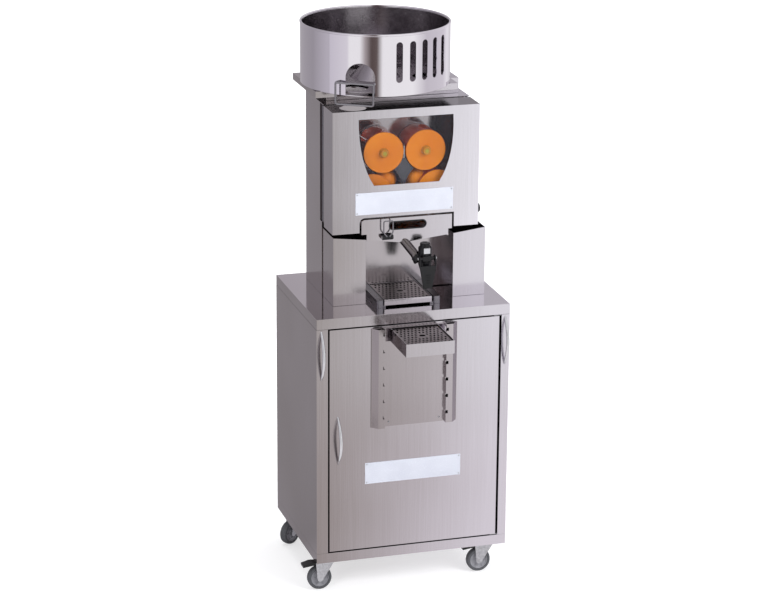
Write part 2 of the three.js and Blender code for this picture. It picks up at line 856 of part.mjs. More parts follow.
const drumAxes = {
  upper_left: [upperLeftX, upperAxisZ],
  upper_right: [upperRightX, upperAxisZ],
  lower_left: [lowerLeftX, lowerAxisZ],
  lower_right: [lowerRightX, lowerAxisZ],
};

// The plate behind the drums is also the bay's back wall
function mainPlate() {
  const x0 = juicerLeft + plateInset;
  const x1 = juicerRight - plateInset;
  const z0 = worktop + sheet + 2 * gap;
  const z1 = juicerTop - plateInset;
  const y1 = housingFrontY - gap;
  const pan = block(x0, x1, bayWallY, y1, z0, z1);
  const hollow = block(x0 + sheet, x1 - sheet, bayWallY + plateThickness, y1 + overrun,
    z0 - overrun, z1 - sheet);
  const bores = Object.values(drumAxes).map(([x, z]) =>
    pinAlongY(bayWallY - overrun, bayWallY + plateThickness + overrun, x, z, bushRadius + gap, 12));
  const ledgeTop = tankTop - tankSideHeight - 2 * gap;
  const runnerLeft = tankLeft - tankRunnerWidth / 2;
  const runnerFrontY = tankFrontY + overrun;
  const runners = [runnerLeft, runnerLeft + tankWidth].map((x) => block(x, x + tankRunnerWidth,
    runnerFrontY, bayWallY + plateThickness / 2, ledgeTop - 2 * sheet, ledgeTop));
  const slideFootX = upperLeftX - discRadius * slideOutShare;
  const slideFootZ = upperAxisZ + discRadius * slideUpShare;
  const chute = outline([
    [x0, juicerTop - 2 * coverInset], [x0 + 2 * sheet, juicerTop - 2 * coverInset],
    [slideFootX, slideFootZ], [slideFootX - sheet, slideFootZ - sheet],
  ]);
  const slide = prismAlongY(chute, discFrontY, bayWallY + sheet - discFrontY);
  return join(cut(pan, hollow, ...bores), ...runners, slide);
}

// One plate behind the wall carries the four bearing bosses
function bearingPlate() {
  const front = bayWallY + plateThickness + gap;
  const back = front + bearingPlateThickness;
  const edge = bushRadius + bearingPlateEdge;
  const plate = prismAlongY(outline([
    [lowerLeftX - edge, lowerAxisZ - edge], [lowerRightX + edge, lowerAxisZ - edge],
    [lowerRightX + edge, lowerAxisZ + edge], [upperRightX + edge, upperAxisZ + edge],
    [upperLeftX - edge, upperAxisZ + edge], [lowerLeftX - edge, lowerAxisZ + edge],
  ]), front, bearingPlateThickness);
  const axes = Object.values(drumAxes);
  const bosses = axes.map(([x, z]) => pinAlongY(bayWallY, back, x, z, bushRadius, 12));
  const bores = axes.map(([x, z]) =>
    pinAlongY(bayWallY - overrun, back + overrun, x, z, shaftRadius + gap, 12));
  return cut(join(plate, ...bosses), ...bores);
}

// Angle of the first ball or cup about each axis, from +x towards +z
const meshTurn = Math.atan2(axisDrop, lowerAxisOut);
const leftBallTurn = meshTurn - ballLead * degree;
const leftCupTurn = meshTurn + Math.PI + ballLead * degree;

function drumBlank(x, z, radius) {
  return turnedAlongY([
    [shaftRadius + gap, discFrontY], [discRadius, discFrontY], [discRadius, discFrontY + discThickness],
    [radius, discFrontY + discThickness], [radius, drumBackY], [shaftRadius + gap, drumBackY],
    [shaftRadius + gap, discFrontY],
  ], x, z, drumSegments);
}

function aroundAxis(x, z, turn, make) {
  const middleY = (discFrontY + discThickness + drumBackY) / 2;
  const bodies = [];
  for (let i = 0; i < ballsPerDrum; i += 1) {
    const angle = turn + i * fullTurn / ballsPerDrum;
    bodies.push(make(x + gearPitchRadius * Math.cos(angle), middleY, z + gearPitchRadius * Math.sin(angle)));
  }
  return bodies;
}

function cupDrum(name, turn) {
  const [x, z] = drumAxes[name];
  return cut(drumBlank(x, z, drumRadius), ...aroundAxis(x, z, turn, (...at) => ball(...at, cupRadius)));
}

function ballDrum(name, turn) {
  const [x, z] = drumAxes[name];
  const bore = pinAlongY(discFrontY - overrun, drumBackY + overrun, x, z, shaftRadius + gap, drumSegments);
  const balls = aroundAxis(x, z, turn, (...at) => ball(...at, ballRadius));
  return cut(join(drumBlank(x, z, drumRadius - sheet), ...balls), bore);
}

function drumKnob(x, z) {
  const seat = discFrontY - gap;
  const rim = (seat - knobFrontY) / 5;
  const socket = shaftFrontY - gap;
  const bore = shaftRadius + gap;
  return turnedAlongY([
    [0, knobFrontY], [knobRadius - rim, knobFrontY], [knobRadius, knobFrontY + rim],
    [knobRadius + rim, seat], [bore, seat], [bore, socket], [0, socket],
  ], x, z, 12);
}

// Spur gear drawn about its own axis, the middle of one tooth at the given angle
function gearOutline(x, z, toothTurn) {
  const pitch = fullTurn / gearTeeth;
  const rootRadius = gearPitchRadius - gearDedendum;
  const tipRadius = gearPitchRadius + gearAddendum;
  const shape = [];
  for (let i = 0; i < gearTeeth; i += 1) {
    const middle = toothTurn + i * pitch;
    for (const [radius, share] of [[rootRadius, -toothRootShare], [tipRadius, -toothTipShare],
      [tipRadius, toothTipShare], [rootRadius, toothRootShare]]) {
      const angle = middle + share * pitch / 2;
      shape.push([x + radius * Math.cos(angle), z + radius * Math.sin(angle)]);
    }
  }
  return outline(shape);
}

// Tooth angle of a gear in mesh with one whose tooth angle is known
function meshedTooth(toothTurn, direction) {
  return 2 * direction + Math.PI - toothTurn + Math.PI / gearTeeth;
}

const gearTurns = { upper_left: 0 };
gearTurns.upper_right = meshedTooth(gearTurns.upper_left, 0);
gearTurns.lower_left = meshedTooth(gearTurns.upper_left, meshTurn + Math.PI);
gearTurns.lower_right = meshedTooth(gearTurns.upper_right, -meshTurn);

function shaftWithGear(name, backY) {
  const [x, z] = drumAxes[name];
  const gear = prismAlongY(gearOutline(x, z, gearTurns[name]), gearFrontY, gearThickness);
  const shaft = pinAlongY(shaftFrontY, backY, x, z, shaftRadius, 12);
  return join(gear, shaft);
}

// Wedge that fills the space between the four drums' paths
function knifeBlock() {
  const top = upperAxisZ - knifeTopDrop;
  const bottom = lowerAxisZ + knifeBottomRise;
  const upperSweep = discRadius + knifeClear / 2;
  const lowerSweep = gearPitchRadius + ballRadius + knifeClear / 2;
  const halfWidth = (z) => {
    const fromUpper = upperSweep ** 2 - (upperAxisZ - z) ** 2;
    const fromLower = lowerSweep ** 2 - (z - lowerAxisZ) ** 2;
    const besideUpper = gearPitchRadius - Math.sqrt(Math.max(fromUpper, 0));
    const besideLower = gearPitchRadius + lowerAxisOut - Math.sqrt(Math.max(fromLower, 0));
    return Math.min(besideUpper, besideLower);
  };
  const levels = Array.from({ length: knifeSteps + 1 }, (_, i) => bottom + (top - bottom) * i / knifeSteps);
  const right = levels.map((z) => [pressMiddle + halfWidth(z), z]);
  const left = levels.map((z) => [pressMiddle - halfWidth(z), z]).reverse();
  return prismAlongY(outline([...right, ...left]), knifeFrontY, bayWallY - gap - knifeFrontY);
}

function knifeBlade() {
  const z0 = upperAxisZ - knifeTopDrop + gap;
  const half = bladeThickness / 2;
  const edge = outline([
    [pressMiddle - half, z0], [pressMiddle + half, z0], [pressMiddle + half, z0 + bladeHeight - 2 * sheet],
    [pressMiddle, z0 + bladeHeight], [pressMiddle - half, z0 + bladeHeight - 2 * sheet],
  ]);
  return prismAlongY(edge, knifeFrontY, bayWallY - gap - knifeFrontY);
}

const motorFrontY = gearFrontY + gearThickness + sheet;

function gearMotor() {
  const half = motorBox / 2;
  const boxBackY = motorFrontY + motorBoxDepth;
  const box = block(upperLeftX - half, upperLeftX + half, motorFrontY, boxBackY,
    upperAxisZ - half, upperAxisZ + half);
  const can = turnedAlongY([
    [0, boxBackY - sheet], [motorRadius, boxBackY - sheet], [motorRadius, motorBackY - overrun],
    [motorRadius - overrun, motorBackY], [0, motorBackY],
  ], upperLeftX, upperAxisZ, 14);
  const gearTop = upperAxisZ + gearPitchRadius + gearAddendum + overrun;
  const footTop = gearTop + overrun + motorArm / 3;
  const armBackY = motorFrontY + 2 * sheet;
  const armX = [upperLeftX - motorArm / 2, upperLeftX + motorArm / 2];
  const arm = block(...armX, motorFrontY, armBackY, upperAxisZ + half - sheet, footTop);
  const foot = block(...armX, housingFrontY + sheet + gap, armBackY, gearTop + gap, footTop);
  const bore = pinAlongY(motorFrontY - overrun, motorFrontY + motorBoxDepth / 2 + gap, upperLeftX,
    upperAxisZ, shaftRadius + gap, 20);
  return cut(join(box, can, arm, foot), bore);
}

function powerInlet() {
  const y0 = housingBackY + gap;
  return turnedAlongY([
    [glandBore, y0 - sheet - overrun], [glandBore + sheet - gap, y0 - sheet - overrun],
    [glandBore + sheet - gap, y0], [glandRadius, y0], [glandRadius, y0 + glandLength / 2],
    [glandRadius - sheet, y0 + glandLength], [glandBore, y0 + glandLength],
    [glandBore, y0 - sheet - overrun],
  ], glandX, worktop + glandAboveTop, 10);
}

// Hood with its window, the notch for the tank's front and the fruit opening
function windowOutline(grow) {
  const z1 = worktop + windowTopAbove + grow;
  const z0 = worktop + windowBottomAbove - grow;
  const waist = z0 + (z1 - z0) * windowWaistShare;
  const shape = new THREE.Shape();
  shape.moveTo(windowTopLeft - grow, z1);
  shape.quadraticCurveTo(windowTopLeft + windowLeftBulge - grow, waist, windowBottomLeft - grow, z0);
  shape.lineTo(windowBottomRight + grow, z0);
  shape.quadraticCurveTo(windowTopRight + windowRightBulge + grow, waist, windowTopRight + grow, z1);
  return shape;
}

function hoodShell() {
  const x0 = juicerLeft;
  const x1 = juicerRight;
  const backY = housingFrontY - 2 * sheet;
  const outer = block(x0, x1, hoodFrontY, hoodSideBackY, hoodBottom, hoodTop);
  const inner = block(x0 + sheet, x1 - sheet, hoodFrontY + sheet, hoodSideBackY + overrun,
    hoodBottom - overrun, hoodTop - sheet);
  const wallTop = hoodTop - sheet - hoodTopGap;
  const rightWall = block(x1 - sheet, x1, hoodSideBackY - overrun, backY, hoodBottom, wallTop);
  const joggleX = x0 + sheet;
  const joggle = block(x0, joggleX + sheet + sheet / 2, hoodSideBackY - 2 * sheet, hoodSideBackY,
    slitBottom, wallTop);
  const leaf = block(joggleX + sheet / 2, joggleX + sheet + sheet / 2, hoodSideBackY - sheet,
    hingeY - hingeRadius - gap, slitBottom, wallTop);
  const paneHole = prismAlongY(windowOutline(0), hoodFrontY - overrun, sheet + 2 * overrun, 8);
  const notchX0 = noticeLeft - tankPanelGap;
  const notchX1 = noticeLeft + tankPanelWidth + tankPanelGap;
  const notchTop = tankPanelTop + tankPanelGap;
  const corner = tankPanelCorner + tankPanelGap;
  const notch = new THREE.Shape();
  notch.moveTo(notchX0, hoodBottom - overrun);
  notch.lineTo(notchX1, hoodBottom - overrun);
  notch.lineTo(notchX1, notchTop);
  notch.lineTo(notchX0 + corner, notchTop);
  notch.absarc(notchX0 + corner, notchTop - corner, corner, quarterTurn, Math.PI);
  const panelNotch = prismAlongY(notch, hoodFrontY - overrun, sheet + 2 * overrun, 6);
  const dropShape = circle(dropX, dropY, dropRadius);
  const dropHole = prismAlongZ(dropShape, hoodTop - sheet - overrun, sheet + 2 * overrun, 24);
  const knobHole = pinAlongX(x1 - sheet - overrun, x1 + overrun, hoodKnobY, worktop + hoodKnobAboveTop,
    hoodKnobStem + gap);
  return cut(join(cut(outer, inner), rightWall, joggle, leaf), paneHole, panelNotch, dropHole, knobHole);
}

function hoodWindow() {
  return prismAlongY(windowOutline(windowLap), hoodFrontY + sheet + gap, windowPane, 8);
}

function hoodKnob() {
  const x0 = juicerRight + gap;
  const x1 = x0 + hoodKnobLength;
  const grip = turnedAlongX([
    [0, x0 - sheet - overrun], [hoodKnobStem, x0 - sheet - overrun], [hoodKnobStem, x0],
    [hoodKnobRadius, x0], [hoodKnobRadius, x1 - sheet], [hoodKnobRadius - sheet, x1], [0, x1],
  ], hoodKnobY, worktop + hoodKnobAboveTop, 12);
  return grip;
}

// Full-height pin hinge in the slit, with the leaf that is fixed to the housing
function hoodHinge() {
  const x = juicerLeft + hingeIn;
  const z0 = slitBottom;
  const z1 = hoodTop - sheet - hoodTopGap;
  const barrel = pinAlongZ(z0, z1, x, hingeY, hingeRadius, 12);
  const leaf = block(x - sheet / 2, x + sheet / 2, hingeY, housingFrontY - gap, z0, z1);
  return join(barrel, leaf);
}

// Peel bins: the top edge falls towards the bay
function peelBin(x0, outerIsLeft) {
  const x1 = x0 + binWidth;
  const z0 = worktop + gap;
  const leftTop = worktop + (outerIsLeft ? binOuterHeight : binInnerHeight);
  const rightTop = worktop + (outerIsLeft ? binInnerHeight : binOuterHeight);
  const outer = prismAlongY(outline([[x0, z0], [x1, z0], [x1, rightTop], [x0, leftTop]]),
    hoodFrontY, bayWallY - gap - hoodFrontY);
  const inner = block(x0 + sheet, x1 - sheet, hoodFrontY + sheet, bayWallY - gap - sheet,
    z0 + sheet, worktop + binOuterHeight + overrun);
  return cut(outer, inner);
}

// Juice tank: a shallow hopper, its panel with the hand slot, the clip's lugs and the spout
function spoutLine(radius, from, to) {
  const start = new THREE.Vector3(outletX, spoutTopY, worktop + spoutTopAbove);
  const end = new THREE.Vector3(spoutEndX, spoutEndY, worktop + spoutEndAbove);
  const way = end.clone().sub(start);
  const length = way.length();
  const geometry = new THREE.CylinderGeometry(radius, radius, length + from + to, 10);
  const tilt = new THREE.Quaternion().setFromUnitVectors(new THREE.Vector3(0, 1, 0), way.normalize());
  geometry.translate(0, (to - from) / 2, 0).applyQuaternion(tilt);
  const middle = start.add(end).multiplyScalar(1 / 2);
  geometry.translate(middle.x, middle.y, middle.z);
  return solid(geometry);
}

function hopperOutline(wall, rise) {
  const side = tankTop - tankSideHeight;
  const bottom = side - tankHopperDrop;
  return outline([
    [tankLeft + wall, tankTop + rise], [tankLeft + wall, side + wall],
    [outletX - outletWidth / 2, bottom + wall], [outletX + outletWidth / 2, bottom + wall],
    [tankLeft + tankWidth - wall, side + wall], [tankLeft + tankWidth - wall, tankTop + rise],
  ]);
}

// The front panel with its hand slot and the fold that joins it to the tank
function tankPanel() {
  const x1 = noticeLeft + tankPanelWidth;
  const face = new THREE.Shape();
  face.moveTo(noticeLeft, tankPanelBottom);
  face.lineTo(x1, tankPanelBottom);
  face.lineTo(x1, tankPanelTop);
  face.lineTo(noticeLeft + tankPanelCorner, tankPanelTop);
  face.absarc(noticeLeft + tankPanelCorner, tankPanelTop - tankPanelCorner, tankPanelCorner,
    quarterTurn, Math.PI);
  const handDepth = sheet + 2 * overrun - (tankFrontY - hoodFrontY);
  const hand = prismAlongY(slot(slotLeft + slotWidth / 2, tankPanelBottom + slotRise + slotHeight / 2,
    slotWidth, slotHeight), hoodFrontY - overrun, handDepth, 5);
  const fold = block(noticeLeft, x1, hoodFrontY, tankFrontY + sheet / 2, tankPanelBottom,
    tankPanelBottom + sheet);
  return join(cut(prismAlongY(face, hoodFrontY, sheet, 6), hand), fold);
}

// The two lugs and the pin that the clip turns on
function clipBearing() {
  const z = worktop + clipRollerAbove;
  const half = clipRollerRadius / 2;
  const reach = clipWidth / 2 + gap;
  const lugs = [clipX - reach - clipLugThickness, clipX + reach].map((x) => block(x, x + clipLugThickness,
    clipRollerY - half, tankFrontY + sheet / 2, z - half, z + half));
  const pin = pinAlongX(clipX - reach - clipLugThickness / 2, clipX + reach + clipLugThickness / 2,
    clipRollerY, z, clipWireRadius, 10);
  return join(...lugs, pin);
}

function juiceTank() {
  const depth = tankBackY - tankFrontY;
  const hopper = prismAlongY(hopperOutline(0, 0), tankFrontY, depth);
  const hollow = prismAlongY(hopperOutline(sheet, overrun), tankFrontY + sheet, depth - 2 * sheet);
  const aboveFloor = block(tankLeft, tankLeft + tankWidth, tankFrontY, tankBackY,
    tankTop - tankSideHeight - overrun, tankTop);
  const spout = cut(spoutLine(spoutRadius, 0, 0), aboveFloor);
  const bore = spoutLine(spoutRadius - spoutWall, spoutBoreIn, overrun);
  return cut(join(cut(join(hopper, spout), hollow), tankPanel(), clipBearing()), bore);
}

function tankStrainer() {
  const z0 = tankTop + gap;
  const x0 = tankLeft;
  const x1 = tankLeft + tankWidth;
  const backY = tankBackY - sheet;
  const plate = outline([[x0, tankFrontY], [x1, tankFrontY], [x1, backY], [x0, backY]]);
  const length = (x1 - x0 - 2 * strainerRim) / strainerColumns - strainerRim / 2;
  for (let row = 0; row < strainerRows; row += 1) {
    const y = tankFrontY + (row + 1) * (tankBackY - tankFrontY) / (strainerRows + 1);
    for (let column = 0; column < strainerColumns; column += 1) {
      const x = x0 + strainerRim + (column + 1 / 2) * (x1 - x0 - 2 * strainerRim) / strainerColumns;
      plate.holes.push(slot(x, y, length, strainerSlotWidth));
    }
  }
  return prismAlongZ(plate, z0, strainerThickness, 1);
}

function tapBody() {
  const z1 = worktop + tapTopAbove;
  const z0 = z1 - tapHeight;
  const shoulder = z1 - tapRadius / 4;
  const barrel = turnedAlongZ([
    [0, z0 - tapNozzleHeight], [tapNozzleRadius, z0 - tapNozzleHeight], [tapNozzleRadius, z0],
    [tapRadius * tapWaistShare, z0], [tapRadius, z0 + tapRadius / 2], [tapRadius, shoulder],
    [tapCapRadius, z1], [tapCapRadius, z1 + tapCapHeight], [0, z1 + tapCapHeight],
  ], tapX, tapY, 12);
  const nozzleBore = pinAlongZ(z0 - tapNozzleHeight - overrun, z0 + tapRadius / 2, tapX, tapY,
    tapNozzleRadius - spoutWall);
  const socket = spoutLine(spoutRadius + tapSocketWall, -2 * spoutRadius, spoutRadius);
  const tube = spoutLine(spoutRadius + gap, 0, gap);
  const pivotZ = worktop + leverPivotAbove;
  const half = leverTopWidth / 2;
  const yokeFront = tapY - tapRadius - leverPinRadius;
  const yokeHalf = tapRadius * tapYokeShare;
  const yoke = block(tapX - yokeHalf, tapX + yokeHalf, yokeFront, tapY, pivotZ - tapYokeRise,
    pivotZ + tapYokeRise);
  const pin = pinAlongX(tapX - half - leverPinEnd, tapX + half + leverPinEnd, yokeFront + leverPinRadius,
    pivotZ, leverPinRadius, 16);
  return join(cut(join(barrel, socket), tube, nozzleBore), yoke, pin);
}

function tapLever() {
  const pivotZ = worktop + leverPivotAbove;
  const neckZ = worktop + leverNeckAbove;
  const z0 = worktop + leverBottomAbove;
  const half = leverTopWidth / 2;
  const low = leverBottomWidth / 2;
  const pinY = tapY - tapRadius;
  const paddle = prismAlongY(outline([
    [tapX - low, z0], [tapX + low, z0], [tapX + half, neckZ], [tapX - half, neckZ],
  ]), leverFrontY, leverThickness);
  const cheekShape = new THREE.Shape();
  cheekShape.moveTo(leverFrontY, neckZ - leverThickness);
  cheekShape.lineTo(leverFrontY + leverThickness, neckZ - leverThickness);
  cheekShape.lineTo(pinY + 2 * leverPinRadius, pivotZ);
  cheekShape.absarc(pinY, pivotZ, 2 * leverPinRadius, 0, Math.PI);
  const cheeks = [tapX - half, tapX + half - leverThickness / 2].map((x) =>
    prismAlongX(cheekShape, x, leverThickness / 2, 3));
  const bore = pinAlongX(tapX - half - overrun, tapX + half + overrun, pinY, pivotZ,
    leverPinRadius + gap);
  return cut(join(paddle, ...cheeks), bore);
}

// Wire clip in front of the tank's panel, turning on its black roller
function clipWire() {
  const z0 = worktop + clipRollerAbove;
  const z1 = worktop + clipWireTopAbove;
  const front = clipRollerY - clipRollerRadius - clipWireRadius / 2;
  const half = clipWireSpan / 2;
  const points = [
    new THREE.Vector3(clipX - clipRollerRadius / 2, front, z0 + clipRollerRadius / 2),
    new THREE.Vector3(clipX - half, front, z0 + 2 * clipRollerRadius),
    new THREE.Vector3(clipX - half, front, z1),
    new THREE.Vector3(clipX + half, front, z1),
    new THREE.Vector3(clipX + half, front, z0 + 2 * clipRollerRadius),
    new THREE.Vector3(clipX + clipRollerRadius / 2, front, z0 + clipRollerRadius / 2),
  ];
  return rod(roundedPath(points, clipRollerRadius / 2), clipWireRadius, 24);
}

function clipRoller() {
  const z0 = worktop + clipRollerAbove;
  const x0 = clipX - clipWidth / 2;
  const x1 = clipX + clipWidth / 2;
  const bore = clipWireRadius + gap;
  const roller = turnedAlongX([
    [bore, x0], [clipRollerRadius - sheet / 2, x0], [clipRollerRadius, x0 + sheet / 2],
    [clipRollerRadius, x1 - sheet / 2], [clipRollerRadius - sheet / 2, x1], [bore, x1], [bore, x0],
  ], clipRollerY, z0, 10);
  return roller;
}

// Drip tray and its rails in the bay
const dripTrayX0 = railLeftX + railWidth + sheet;
const dripTrayX1 = dripTrayX0 + dripTrayWidth - 2 * sheet;
const dripTrayZ0 = worktop + dripTrayLift;
const dripTrayBackY = bayWallY - 2 * gap;

function trayRails() {
  const z0 = worktop + gap;
  const z1 = z0 + railHeight;
  const corner = railWidth / 4;
  const rails = [railLeftX, railRightX].map((x0) => {
    const plan = new THREE.Shape();
    plan.moveTo(x0, dripTrayBackY);
    plan.lineTo(x0, railFrontY + corner);
    plan.absarc(x0 + corner, railFrontY + corner, corner, Math.PI, 3 * quarterTurn);
    plan.lineTo(x0 + railWidth - corner, railFrontY);
    plan.absarc(x0 + railWidth - corner, railFrontY + corner, corner, 3 * quarterTurn, fullTurn);
    plan.lineTo(x0 + railWidth, dripTrayBackY);
    return prismAlongZ(plan, z0, railHeight, 2);
  });
  const footTop = dripTrayZ0 - gap;
  const feet = [
    [railLeftX + railWidth - sheet, dripTrayX0 + railFoot], [dripTrayX1 - railFoot, railRightX + sheet],
  ].map(([x0, x1]) => block(x0, x1, railFrontY + overrun, dripTrayBackY, z0, footTop));
  const tie = block(railLeftX + railWidth / 2, railRightX + railWidth / 2, dripTrayBackY - railWidth,
    dripTrayBackY, z0, footTop);
  return join(...rails, ...feet, tie);
}

function dripTray() {
  return trayWithLedges(dripTrayX0, dripTrayX1, railFrontY + sheet, dripTrayBackY - gap, dripTrayZ0,
    dripTrayZ0 + dripTrayHeight);
}

function dripTrayGrate() {
  const rim = sheet + 2 * gap;
  return grate(dripTrayX0 + rim, dripTrayX1 - rim, railFrontY + sheet + rim, dripTrayBackY - gap - rim,
    dripTrayZ0 + dripTrayHeight - grateDrop / 2);
}

// Feeder plate with its drive housing
function feederPlate() {
  const x1 = feederLeft + feederWidth;
  const z0 = feederTop - feederLip;
  const pan = block(feederLeft, x1, feederFrontY, feederBackY, z0, feederTop);
  const under = block(feederLeft + sheet, x1 - sheet, feederFrontY + sheet, feederBackY - sheet,
    z0 - overrun, feederTop - sheet);
  const drop = pinAlongZ(z0 - overrun, feederTop + overrun, dropX, dropY, fruitHoleRadius + sheet, 24);
  const house = block(feederBoxLeft, feederBoxLeft + feederBoxWidth, feederBoxFrontY, feederBoxBackY,
    juicerTop + gap, feederTop - sheet / 2);
  const shaftHole = pinAlongZ(feederTop - rotorShaftLength - overrun, feederTop + overrun,
    basketX, basketY, rotorShaftRadius + gap, 20);
  return cut(join(cut(pan, under, drop), house), shaftHole);
}

// Turns a body about the basket's upright axis; zero faces the front, positive goes left
function aboutBasket(geometry, turn) {
  return solid(geometry.rotateZ(-turn * degree).translate(basketX, basketY, 0));
}

function fruitBasket() {
  const z0 = basketBottom;
  const z1 = z0 + basketHeight;
  const inner = basketRadius - sheet;
  const middle = basketRadius - sheet / 2;
  const rim = [];
  for (let i = 0; i <= rimSteps; i += 1) {
    const angle = (rimStart + i * rimSweep / rimSteps) * degree;
    rim.push([middle + basketRim * Math.cos(angle), z1 - basketRim + basketRim * Math.sin(angle)]);
  }
  const bowl = turnedAlongZ([
    [0, z0], [basketRadius, z0], ...rim, [inner, z0 + sheet], [0, z0 + sheet],
  ], basketX, basketY, basketSegments);
  const shaftHole = pinAlongZ(z0 - overrun, z0 + overrun, basketX, basketY, rotorShaftRadius + gap, 20);
  const drop = pinAlongZ(z0 - overrun, z0 + overrun, dropX, dropY, fruitHoleRadius, 24);
  const reach = basketRadius / 2;
  const arch = new THREE.Shape();
  arch.moveTo(-archWidth / 2, z0 + sheet);
  arch.lineTo(archWidth / 2, z0 + sheet);
  arch.lineTo(archWidth / 2, z0 + archHeight - archWidth / 2);
  arch.absarc(0, z0 + archHeight - archWidth / 2, archWidth / 2, 0, Math.PI);
  const archBody = new THREE.ExtrudeGeometry(arch, { depth: reach, bevelEnabled: false, curveSegments: 6 });
  archBody.rotateX(quarterTurn).translate(0, -basketRadius + reach - overrun, 0);
  const openings = [aboutBasket(archBody, archTurn)];
  for (let i = 0; i < sightCount; i += 1) {
    const shape = new THREE.Shape();
    const low = z0 + sightLift + sightWidth / 2;
    const high = z0 + sightLift + sightHeight - sightWidth / 2;
    shape.absarc(0, low, sightWidth / 2, Math.PI, fullTurn);
    shape.absarc(0, high, sightWidth / 2, 0, Math.PI);
    const body = new THREE.ExtrudeGeometry(shape, { depth: reach, bevelEnabled: false, curveSegments: 3 });
    body.rotateX(quarterTurn).translate(0, -basketRadius + reach - overrun, 0);
    openings.push(aboutBasket(body, sightFirst - i * sightTurn));
  }
  return cut(bowl, shaftHole, drop, ...openings);
}

function feedRotor() {
  const z0 = basketBottom + sheet + rotorLift;
  const z1 = z0 + rotorThickness;
  const radius = basketRadius - sheet - rotorGap;
  const hub = rotorShaftRadius * 2;
  const disc = turnedAlongZ([
    [0, basketBottom - rotorShaftLength], [rotorShaftRadius, basketBottom - rotorShaftLength],
    [rotorShaftRadius, basketBottom + sheet + gap], [hub, basketBottom + sheet + gap], [hub, z0],
    [radius, z0], [radius, z1], [rotorConeRadius, z1],
    [rotorConeTop, z1 + rotorConeHeight], [0, z1 + rotorConeHeight],
  ], basketX, basketY, basketSegments);
  const orbit = Math.hypot(dropX - basketX, dropY - basketY);
  const start = Math.atan2(dropY - basketY, dropX - basketX);
  const holes = [];
  for (let i = 0; i < rotorHoles; i += 1) {
    const angle = start + i * fullTurn / rotorHoles;
    holes.push(pinAlongZ(z0 - overrun / 2, z1 + overrun, basketX + orbit * Math.cos(angle),
      basketY + orbit * Math.sin(angle), fruitHoleRadius, 10));
  }
  return cut(disc, ...holes);
}

// Rod guard in front of the fruit exit; its upper ends meet the basket's wall
function basketGuard() {
  const plane = -(basketRadius + guardStandoff);
  const inside = plane + guardHalfWidth / 2;
  const z1 = basketBottom + guardTopLift;
  const z0 = basketBottom - guardDrop;
  const w = guardHalfWidth;
  const path = roundedPath([
    new THREE.Vector3(-w, inside, z1), new THREE.Vector3(-w, plane, z1),
    new THREE.Vector3(-w, plane, z0), new THREE.Vector3(w, plane, z0),
    new THREE.Vector3(w, plane, z1), new THREE.Vector3(w, inside, z1),
  ], guardCorner / 2);
  const loop = rodGeometry(path, guardRod, 24);
  const bar = new THREE.CylinderGeometry(guardRod, guardRod, 2 * w, 6);
  bar.rotateZ(quarterTurn).translate(0, plane, z1);
  const wall = pinAlongZ(z0, z1 + basketHeight, basketX, basketY, basketRadius + gap, basketSegments);
  return cut(join(aboutBasket(loop, guardTurn), aboutBasket(bar, guardTurn)), wall);
}

// The whole machine
addPiece('cabinet_body', cabinetBody(), brushedSteel);
addPiece('base_pan', basePan(), brushedSteel);
addPiece('worktop', worktopSheet(), brushedSteel);
for (const [side, x] of [['left', stileBowInset], ['right', cabinetWidth - stileBowInset]]) {
  addPiece(`${side}_push_handle`, bowHandle(x, 0, stileBowBottom, stileBowSpan, stileBowStandoff), chrome);
}
addPiece('lower_door_hinge', lowerDoorHinge(), zinc);
addPiece('upper_door_hinge', upperDoorHinge(), zinc);
addPiece('door_catch', doorCatch(), blackPlastic);
addPiece('door_panel', doorPanel(), brushedSteel);
addPiece('door_handle', bowHandle(doorBowX, 0, doorBowBottom, doorBowSpan, doorBowStandoff), chrome);
addPiece('tray_rail_bracket', railBracket(), brushedSteel);
addPiece('cup_tray', cupTray(), brushedSteel);
addPiece('cup_tray_grate', cupTrayGrate(), brushedSteel);

for (const caster of casters) {
  const [x, y] = casterPlace(caster);
  const pieces = [
    addPiece(`${caster.name}_fork`, casterFork(caster.pedal), zinc),
    addPiece(`${caster.name}_wheel`, casterWheel(), greyRubber),
  ];
  if (caster.pedal) pieces.push(addPiece(`${caster.name}_brake_pedal`, brakePedal(), blackPlastic));
  for (const piece of pieces) {
    piece.rotation.z = caster.heading * degree;
    piece.position.set(x, y, 0);
  }
}

addPiece('housing_shell', housingShell(), brushedSteel);
addPiece('rear_cover', rearCover(), brushedSteel);
addPiece('main_plate', mainPlate(), brushedSteel);
addPiece('gear_motor', gearMotor(), motorPaint);
addPiece('power_inlet', powerInlet(), blackPlastic);
addPiece('bearing_plate', bearingPlate(), brass);
addPiece('upper_left_drum', cupDrum('upper_left', leftCupTurn), orangePlastic);
addPiece('upper_right_drum', cupDrum('upper_right', Math.PI - leftCupTurn), orangePlastic);
addPiece('lower_left_drum', ballDrum('lower_left', leftBallTurn), orangePlastic);
addPiece('lower_right_drum', ballDrum('lower_right', Math.PI - leftBallTurn), orangePlastic);
addPiece('upper_left_knob', drumKnob(upperLeftX, upperAxisZ), orangePlastic);
addPiece('upper_right_knob', drumKnob(upperRightX, upperAxisZ), orangePlastic);
for (const name of Object.keys(drumAxes)) {
  const backY = name === 'upper_left' ? motorFrontY + motorBoxDepth / 2 : gearFrontY + gearThickness + sheet;
  addPiece(`${name}_shaft`, shaftWithGear(name, backY), darkSteel);
}
addPiece('knife_block', knifeBlock(), greyPlastic);
addPiece('knife_blade', knifeBlade(), chrome);

